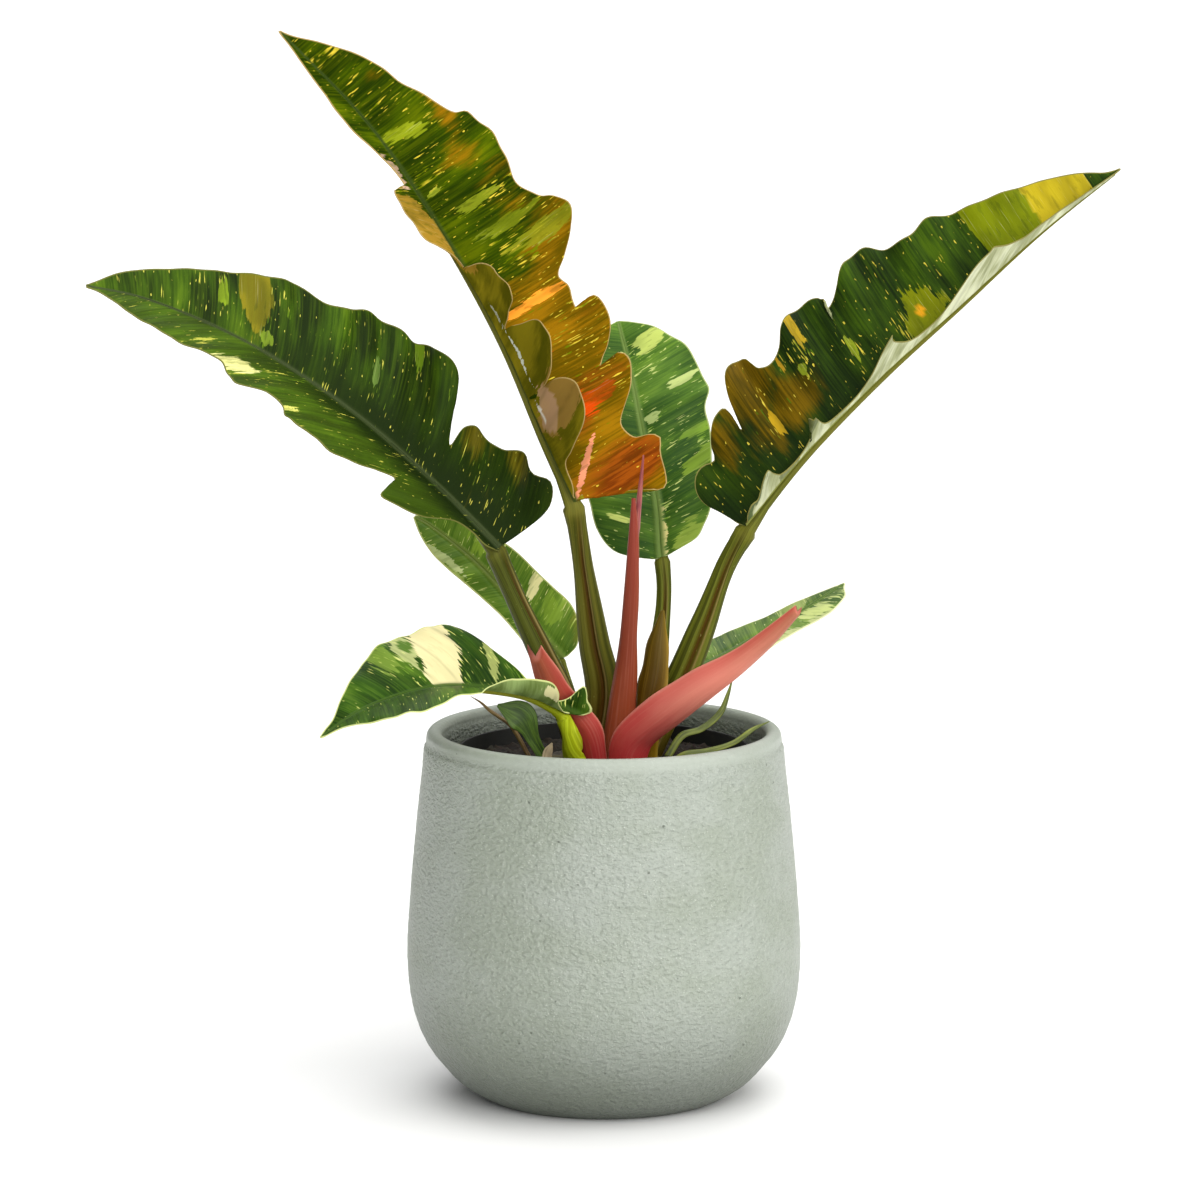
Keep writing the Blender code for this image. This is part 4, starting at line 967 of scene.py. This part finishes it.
def add_leaf(name, leaf, look, seed):
    """A leaf blade: the folded sheet, moved along its normals by waves, pleats and midrib."""
    look = {**USUAL_LOOK, **look}
    blade = Blade(leaf)
    grid, along, out, gap, half = blade.sheet(BLADE_COLUMNS, BLADE_ROWS, look.get("leans", look["sweep"]))
    sweep = np.where(half > 0, *look["sweep"])
    root = along - sweep * out - VEIN_BEND * out ** 2
    pleat, crease = pleats(root, out, gap, half, seed)
    rib_height, rib = midrib(along / blade.length, out, look["rib"])
    height = ripple_height(look, root, out, half, seed) + pleat + rib_height
    grid = grid + sheet_normals(grid) * height[..., None]
    thick = HALF_THICKNESS * (0.45 + 0.55 * np.clip(gap / 1.5, 0.0, 1.0))[..., None] * sheet_normals(grid)
    points = np.concatenate([(grid + thick).reshape(-1, 3), (grid - thick).reshape(-1, 3)])

    vein = half * out * np.sqrt(1 + sweep ** 2)
    pale, tone = patch_field(look, root, np.abs(vein), half)
    flush = flush_field(look, root, np.abs(vein), half)
    both = {key: np.tile(values.ravel(), 2)
            for key, values in dict(rib=rib, edge=gap, crease=crease, pale=pale, flush=flush).items()}
    floats = dict(**both, under=np.repeat((0.0, 1.0), root.size))
    uv = np.tile(np.stack([root, vein], -1).reshape(-1, 2), (2, 1))
    above, below = tone.copy(), tone.copy()
    above[..., 3] = np.clip(tone[..., 3], 0.0, 1.0)
    below[..., 3] = np.abs(tone[..., 3])
    colours = dict(patch=np.concatenate([above.reshape(-1, 4), below.reshape(-1, 4)]))
    faces = sheet_faces(*root.shape).tolist()
    put_mesh("leaf_" + name, points, faces, leaf_finish("waxy_leaf_" + name, look, seed * 9.7),
             ["blade_" + name], ("veins", uv), floats, colours)


def full_turn(count, start=0.0):
    """Even angles round a ring, the first one start steps on."""
    return 2 * np.pi * (np.arange(count) + start) / count


def rings_round(path, up, across, above):
    """Rings carried along a path: across runs sideways and above upward; up may change along it."""
    forward = unit(np.gradient(path, axis=0))
    sideways = unit(np.cross(np.broadcast_to(np.asarray(up, float), forward.shape), forward))
    upward = np.cross(forward, sideways)
    return path[:, None] + across[..., None] * sideways[:, None] + above[..., None] * upward[:, None]


def tube_faces(rings, sides, turned_over=False):
    """Squares round a tube, and fans to one centre point at each end."""
    start = np.arange(rings - 1)[:, None] * sides
    here = np.arange(sides)
    after = (here + 1) % sides
    if turned_over:
        here, after = after, here
    squares = np.stack([start + here, start + after, start + sides + after, start + sides + here], -1)
    end = rings * sides
    foot = np.stack([np.full(sides, end), after, here], -1)
    tip = np.stack([np.full(sides, end + 1), end - sides + here, end - sides + after], -1)
    return squares.reshape(-1, 4).tolist() + foot.tolist() + tip.tolist()


def add_tube(name, path, rings, finish, nodes, floats=None):
    """A closed tube from its rings, with its own map: across, then along."""
    count, sides = rings.shape[:2]
    ends = np.stack([rings[0].mean(0), rings[-1].mean(0)])
    points = np.concatenate([rings.reshape(-1, 3), ends])
    far = walked(path)
    girth = np.linalg.norm(np.roll(rings, -1, axis=1) - rings, axis=-1).sum(1).max()
    across = np.broadcast_to(np.arange(sides) / sides * girth, (count, sides))
    along = np.broadcast_to(far[:, None], (count, sides))
    uv = np.concatenate([np.stack([across, along], -1).reshape(-1, 2), [(0, 0), (0, far[-1])]])
    full = {key: np.concatenate([np.broadcast_to(values, (count, sides)).ravel(), [0.0, 1.0]])
            for key, values in (floats or {}).items()}
    put_mesh(name, points, tube_faces(count, sides), finish, nodes, ("length", uv), full)


def standing(path):
    """A path whose first point is moved down to its foot: just in the crown, or in the soil beside it."""
    x, y = path[0]
    foot = (x, y, (CROWN_TOP if np.hypot(x, y) < CROWN_RADIUS else SOIL_TOP) - ROOTED)
    return [foot, *path[1:]]


def add_stalk(name, leaf, finish):
    """A leaf stalk that goes on as the rib under the midrib, tapering to the tip.

    Section of unit half width: round below, flatter above with a deep channel
    between two rounded shoulders; the channel fades under the blade, and a
    swollen joint with a ring stands just below it.
    """
    blade = Blade(leaf)
    last = leaf["stalk_width"][-1]
    stations = np.linspace(0.0, RIB_END, STALK_RIB_RINGS)
    point, _, normal, _ = blade.frame(stations * blade.length)
    rib_half = np.interp(stations, *RIB_TAPER) * last / 2
    rib = point - normal * (HALF_THICKNESS + 0.75 * rib_half - RIB_SUNK)[:, None]
    stalk = even_path([*standing(leaf["stalk"]), rib[0]], STALK_RINGS)
    path = np.concatenate([stalk[:-1], rib])
    half = spread([w / 2 for w in (*leaf["stalk_width"], last)], STALK_RINGS)
    half = np.concatenate([half[:-1], rib_half])
    number = np.arange(len(path))
    plain = STALK_RINGS - STALK_FADE_RINGS
    share = np.clip((number[:STALK_RINGS - 1] - plain) / STALK_FADE_RINGS, 0.0, 1.0)[:, None]
    up = np.concatenate([unit(STALK_UP[name]) * (1 - share) + normal[0] * share, normal])
    turn = full_turn(STALK_SIDES, 0.5)
    x, y = np.cos(turn), np.sin(turn)
    upper = y > 0
    flat = np.where(upper, 0.72 * np.abs(y) ** 0.8, y)
    dip = np.where(upper, bell(x, -0.10, 0.20), 0.0)
    line = np.where(upper, bell(x, -0.38, 0.06), 0.0)
    swell, deepest = STALK_JOINTS.get(name, USUAL_STALK_JOINT)
    depth = np.concatenate([np.full(plain, deepest), np.linspace(deepest, 0.0, STALK_FADE_RINGS),
                            np.zeros(len(path) - STALK_RINGS)])
    joint = bell(number, STALK_RINGS - 1.6, 1.6)
    half = half * (1.0 + swell * joint + 0.6 * swell * bell(number, STALK_RINGS - 3.6, 0.5))
    rings = rings_round(path, up, half[:, None] * x, half[:, None] * (flat - depth[:, None] * dip))
    foot = np.clip(1.0 - walked(path) / (0.55 * walked(stalk)[-1]), 0.0, 1.0)
    open_part = (depth / 0.5)[:, None]
    joint = joint * min(1.0, 4.0 * swell)
    floats = dict(channel=dip * open_part, line=line * open_part, foot=foot[:, None], joint=joint[:, None],
                  rib=np.clip((number - (STALK_RINGS - 1)) / 8.0, 0.0, 1.0)[:, None])
    add_tube("leafstalk_" + name, path, rings[:, ::-1], finish, ["stalk_" + name],
             {key: values[:, ::-1] for key, values in floats.items()})


def add_sheath(name, sheath, seed):
    """A papery sheath: a tapering gutter with a thin wall and two low keels on its back.

    Radius = half width * (1 + a narrow bell on each keel) * (1 + a small wave
    at the edges); the edges run on past the middle by the horns' length.
    """
    path = even_path(standing(sheath["path"]), SHEATH_RINGS)
    half = spread([w / 2 for w in sheath["widths"]], SHEATH_RINGS)
    share = np.linspace(0.0, 1.0, SHEATH_RINGS)
    arc = np.linspace(-0.5, 0.5, SHEATH_ARC)
    wrap = np.radians(sheath["wrap"]) * (1.0 - 0.15 * np.sin(np.pi * share))
    turn = arc * wrap[:, None] - np.pi / 2
    keel = 1.0 + 0.07 * bell(np.abs(arc), 0.17, 0.035) * (0.4 + 0.6 * share[:, None])
    edge = 1.0 + 0.05 * np.sin(share * 23.0 + seed)[:, None] * (np.abs(arc) * 2) ** 4
    outer = half[:, None] * keel * edge
    wall = np.minimum(SHEATH_WALL, 0.55 * half)[:, None] * (1.0 - 0.6 * (np.abs(arc) * 2) ** 3)
    inner = outer - wall
    radius = np.concatenate([outer, inner[:, ::-1]], axis=1)
    angle = np.concatenate([turn, turn[:, ::-1]], axis=1)
    back = -np.asarray(sheath["back"], float)
    rings = rings_round(path, back, radius * np.cos(angle), radius * np.sin(angle))
    rim = np.concatenate([np.abs(arc), np.abs(arc[::-1])]) * 2
    ahead = unit(np.gradient(path, axis=0))[:, None]
    rings = rings + ahead * (sheath["horns"] * share[:, None] ** 5 * (rim ** 2 - 0.4))[..., None]
    band = sheath.get("band", 0.1)
    floats = dict(climb=share[:, None], rim=np.clip((rim - 1 + band) / band, 0, 1), flank=rim)
    finish = sheath_finish("papery_sheath_" + name, *sheath["tones"], seed, sheath.get("edge", SHEATH_EDGE))
    add_tube("sheath_" + name, path, rings, finish, ["cataphyll_" + name], floats)


def add_strap(name, strap, seed):
    """A thin strap: a flattened round section with a low keel, tapering to its end."""
    path = even_path(strap["path"], STRAP_RINGS)
    taper = spread(strap.get("taper", STRAP_TAPER), STRAP_RINGS)
    turn = full_turn(STRAP_SIDES)
    x, y = np.cos(turn), np.sin(turn)
    fold = 0.35 * np.abs(x) * strap["width"] / 2 * (strap["width"] > KEELED_ABOVE)
    wide = (taper * strap["width"] / 2)[:, None] * x
    deep = taper[:, None] * (y * strap["thickness"] / 2 + fold)
    rings = rings_round(path, strap["flat"], wide, deep)
    finish = strap_finish("fibrous_" + name, *strap["tones"], 0.55, seed)
    add_tube(name + "_strip", path, rings, finish, [name])


def turned(name, profile, finish, nodes, steps, shift=None):
    """Turns a profile of (radius, height), which starts and ends on the axis, round it."""
    profile = np.asarray(profile, float)
    turn = full_turn(steps)
    ring = np.stack([np.cos(turn), np.sin(turn)], -1)
    radius, height = profile[1:-1, 0], profile[1:-1, 1]
    points = np.empty((len(radius), steps, 3))
    points[..., :2] = radius[:, None, None] * ring
    points[..., 2] = height[:, None]
    if shift is not None:
        points = points + shift(points)
    flat = np.concatenate([points.reshape(-1, 3), [(0, 0, profile[0, 1]), (0, 0, profile[-1, 1])]])
    put_mesh(name, flat, tube_faces(len(radius), steps, turned_over=True), finish, nodes)


def nursery_radius(height):
    """Outer radius of the nursery pot's wall below its lip."""
    share = (height - POT_FLOOR - GAP) / (NURSERY_HEIGHT - NURSERY_LIP_DEPTH)
    return NURSERY_FOOT_RADIUS + share * (NURSERY_RADIUS - NURSERY_LIP - NURSERY_FOOT_RADIUS)


def lump_field(rings, steps):
    """Hammered relief in mm: fixed random numbers kept at wavelengths near LUMP_SIZE, round and up."""
    field = np.random.default_rng(3).normal(0.0, 1.0, (rings, steps))
    waves = np.hypot(np.fft.fftfreq(rings, RING_STEP)[:, None], np.fft.fftfreq(steps, POT_GIRTH / steps))
    field = np.fft.ifft2(np.fft.fft2(field) * bell(waves * LUMP_SIZE, 1.0, 0.6)).real
    return LUMP_HEIGHT * field / field.std()


def add_pot():
    """The glazed pot: a belly on a flat foot, a low collar, a half-round rim and the wall inside."""
    belly = even_path([(POT_FOOT_RADIUS, 0.4), *POT_BELLY], POT_RINGS)
    collar = POT_HEIGHT - COLLAR_HEIGHT
    neck = even_path([belly[-1], (73.8, collar - 2.0), (73.6, collar - 0.8), (73.1, collar),
                      (72.8, collar + 0.6), (72.9, collar + 1.9), (72.75, POT_HEIGHT - 3.2)], NECK_RINGS)[1:]
    turn = np.radians(np.linspace(0, 180, 15))[1:]
    half = POT_WALL / 2
    rim = np.stack([POT_MOUTH_RADIUS + 0.1 - half + half * np.cos(turn),
                    POT_HEIGHT - half + half * np.sin(turn)], -1)
    inside = [(radius - POT_WALL, height) for radius, height in POT_BELLY[::-1] if height > 27]
    inner = even_path([rim[-1], *inside, (66.5, 22.0), (61.5, 15.5), (54.0, POT_FLOOR)], POT_INNER_RINGS)[1:]
    foot = [(0.0, 0.0), (POT_FOOT_RADIUS - 1.0, 0.0)]
    outline = np.concatenate([foot, belly, neck, rim, inner, [(0.0, POT_FLOOR)]])
    lumps = lump_field(len(outline) - 2, POT_STEPS)[::-1]
    outside = (np.arange(len(outline))[1:-1] < POT_RINGS + HAMMERED_RINGS_ABOVE)[::-1]

    def hammer(points):
        """Lumps straight out from the axis, full outside and a quarter as high inside."""
        level = points[..., 2]
        lift = np.where(outside[:, None], lumps, 0.25 * lumps) * np.clip(level / 6.0, 0.0, 1.0)
        lift = lift * np.clip((POT_HEIGHT - 3.0 - level) / 5.0, 0.2, 1.0)
        return unit(points * (1.0, 1.0, 0.0)) * lift[..., None]

    turned("glazed_pot", outline[::-1], pot_finish(), ["outer_pot"], POT_STEPS, hammer)


def add_nursery_pot():
    """The plastic pot inside: a tapered wall with a stepped, slightly rounded lip."""
    foot = POT_FLOOR + GAP
    top = foot + NURSERY_HEIGHT
    lip = top - NURSERY_LIP_DEPTH
    floor = foot + NURSERY_WALL
    rim_in = NURSERY_RADIUS - NURSERY_WALL
    round_off = 0.3
    outline = [(0, floor), (nursery_radius(floor) - NURSERY_WALL, floor),
               (nursery_radius(lip) - NURSERY_WALL, lip), (rim_in, lip + NURSERY_LIP),
               (rim_in, top - round_off), (rim_in + round_off, top),
               (NURSERY_RADIUS - round_off, top), (NURSERY_RADIUS, top - round_off), (NURSERY_RADIUS, lip),
               (nursery_radius(lip), lip - round_off), (nursery_radius(foot), foot), (0, foot)]
    turned("liner_pot", outline, plastic_finish(), ["nursery_pot"], NURSERY_STEPS)


def raised(lift):
    """Moves straight up by a lift."""
    return lift[..., None] * (0.0, 0.0, 1.0)


def add_soil():
    """Crumbly potting mix round the crown: height = sum of sines and a fixed random crumb field."""
    base = POT_FLOOR + 2 * GAP + NURSERY_WALL
    clear = NURSERY_WALL + GAP
    edge = nursery_radius(SOIL_TOP) - clear
    surface = [(radius, SOIL_TOP) for radius in np.linspace(CROWN_RADIUS + GAP, edge, SOIL_RINGS)]
    socket = CROWN_TOP - CROWN_DEPTH - GAP
    outline = [(0.0, socket), (CROWN_RADIUS + GAP, socket), *surface,
               (nursery_radius(base) - clear, base), (0.0, base)]
    crumbs = np.random.default_rng(7).normal(0.0, 1.0, (len(outline) - 2, SOIL_STEPS))

    def heave(points):
        """Lifts the open surface between the crown and the nursery pot."""
        x, y, z = points[..., 0], points[..., 1], points[..., 2]
        lift = 0.9 * np.sin(x * 0.31) * np.cos(y * 0.27 + 1) + 0.7 * np.sin(x * 0.73 + y * 0.61)
        out = np.hypot(x, y)
        loose = (np.abs(z - SOIL_TOP) < 0.1) & (out > CROWN_RADIUS + 1) & (out < edge - 0.5)
        return raised(np.where(loose, lift + 0.55 * crumbs, 0.0))

    turned("potting_mix", outline, soil_finish(), ["soil"], SOIL_STEPS, heave)


def add_crown():
    """The rootstock: a short drum whose top is uneven by a product of two sines."""
    low = CROWN_TOP - CROWN_DEPTH
    outline = [(0, CROWN_TOP), *((r, CROWN_TOP) for r in np.linspace(2, CROWN_RADIUS - 1.5, 12)),
               (CROWN_RADIUS - 0.4, CROWN_TOP - 0.4), (CROWN_RADIUS, CROWN_TOP - 1.5),
               (CROWN_RADIUS, low), (0, low)]

    def knobs(points):
        """Lifts and lowers the top by half a millimetre."""
        x, y, z = points[..., 0], points[..., 1], points[..., 2]
        return raised(np.where(z > CROWN_TOP - 0.1, 0.5 * np.sin(x * 0.9) * np.sin(y * 0.8 + 1), 0.0))

    turned("rootstock", outline, crown_finish(), ["crown"], CROWN_STEPS, knobs)


def add_new_leaf():
    """The next leaf, rolled up: a spiral lap stands out of a round taper."""
    path = even_path(standing(NEW_LEAF_PATH), ROLL_RINGS)
    turn = full_turn(ROLL_SIDES)
    lap = 1.0 - 0.18 * ((turn / (2 * np.pi) + np.linspace(0, 0.6, ROLL_RINGS)[:, None]) % 1.0)
    radius = spread(NEW_LEAF_RADII, ROLL_RINGS)[:, None] * lap
    rings = rings_round(path, (0.0, -1.0, 0.0), radius * np.cos(turn), radius * np.sin(turn))
    finish = strap_finish("rolled_leaf", "#7a2e36", "#a85c50", 0.4, 41)
    add_tube("rolled_leaf", path, rings, finish, ["new_leaf_roll"])


# -------------------------------------------------------------------- scene

def add_camera():
    """A long lens in front of the plant and above it, looking slightly down at its middle."""
    camera = bpy.data.objects.new("camera", bpy.data.cameras.new("camera"))
    camera.location = CAMERA_PLACE
    aim = Vector(CAMERA_AIM) - camera.location
    camera.rotation_euler = aim.to_track_quat("-Z", "Y").to_euler()
    camera.data.lens = CAMERA_LENS
    camera.data.sensor_width = 36.0
    bpy.context.scene.collection.objects.link(camera)
    bpy.context.scene.camera = camera


def add_light(name, towards, power, spread_angle, colour):
    """A soft far light that shines from a direction, evenly over the whole floor."""
    data = bpy.data.lights.new(name, "SUN")
    data.angle = math.radians(spread_angle)
    data.energy = power
    data.color = colour
    light = bpy.data.objects.new(name, data)
    light.rotation_euler = Vector(towards).to_track_quat("Z", "Y").to_euler()
    bpy.context.scene.collection.objects.link(light)


def add_studio():
    """A white matt floor, even white surroundings and the lights."""
    reach = FLOOR_REACH
    mesh = bpy.data.meshes.new("studio_floor")
    corners = [(-reach, -reach, 0.0), (reach, -reach, 0.0), (reach, reach, 0.0), (-reach, reach, 0.0)]
    mesh.from_pydata(corners, [], [(0, 1, 2, 3)])
    made, tree = start_finish("studio_white", 0.9, Specular_IOR_Level=0.0)
    cloud = grain(tree, add(tree, "TexCoord", out=3), (400, 400, 400))
    mesh.materials.append(end_finish(made, paint(tree, "#f2f2f2", "#f5f5f5", cloud)))
    floor = bpy.data.objects.new("studio_floor", mesh)
    bpy.context.scene.collection.objects.link(floor)
    world = bpy.data.worlds.new("studio")
    world.use_nodes = True
    world.node_tree.nodes["Background"].inputs["Color"].default_value = (1.0, 1.0, 1.0, 1.0)
    world.node_tree.nodes["Background"].inputs["Strength"].default_value = SURROUNDINGS
    bpy.context.scene.world = world
    for light in LIGHTS:
        add_light(*light)
    view = bpy.context.scene.view_settings
    view.view_transform = "Standard"
    view.look = "None"
    view.exposure = 0.0
    view.gamma = 1.0


def main():
    """Camera and studio first, then the pots and the ground, then everything that grows."""
    add_camera()
    add_studio()
    add_pot()
    add_nursery_pot()
    add_soil()
    add_crown()
    for seed, (name, leaf) in enumerate(LEAVES.items(), 1):
        add_leaf(name, leaf, LOOKS[name], seed)
        tones = STALK_TONES.get(name, USUAL_STALK_TONES)
        add_stalk(name, leaf, stalk_finish("waxy_stalk_" + name, tones, STALK_BROWN, 3.0 * seed))
    for seed, (name, sheath) in enumerate(SHEATHS.items(), 31):
        add_sheath(name, sheath, float(seed))
    for seed, (name, strap) in enumerate(STRAPS.items(), 51):
        add_strap(name, strap, float(seed))
    add_new_leaf()


main()
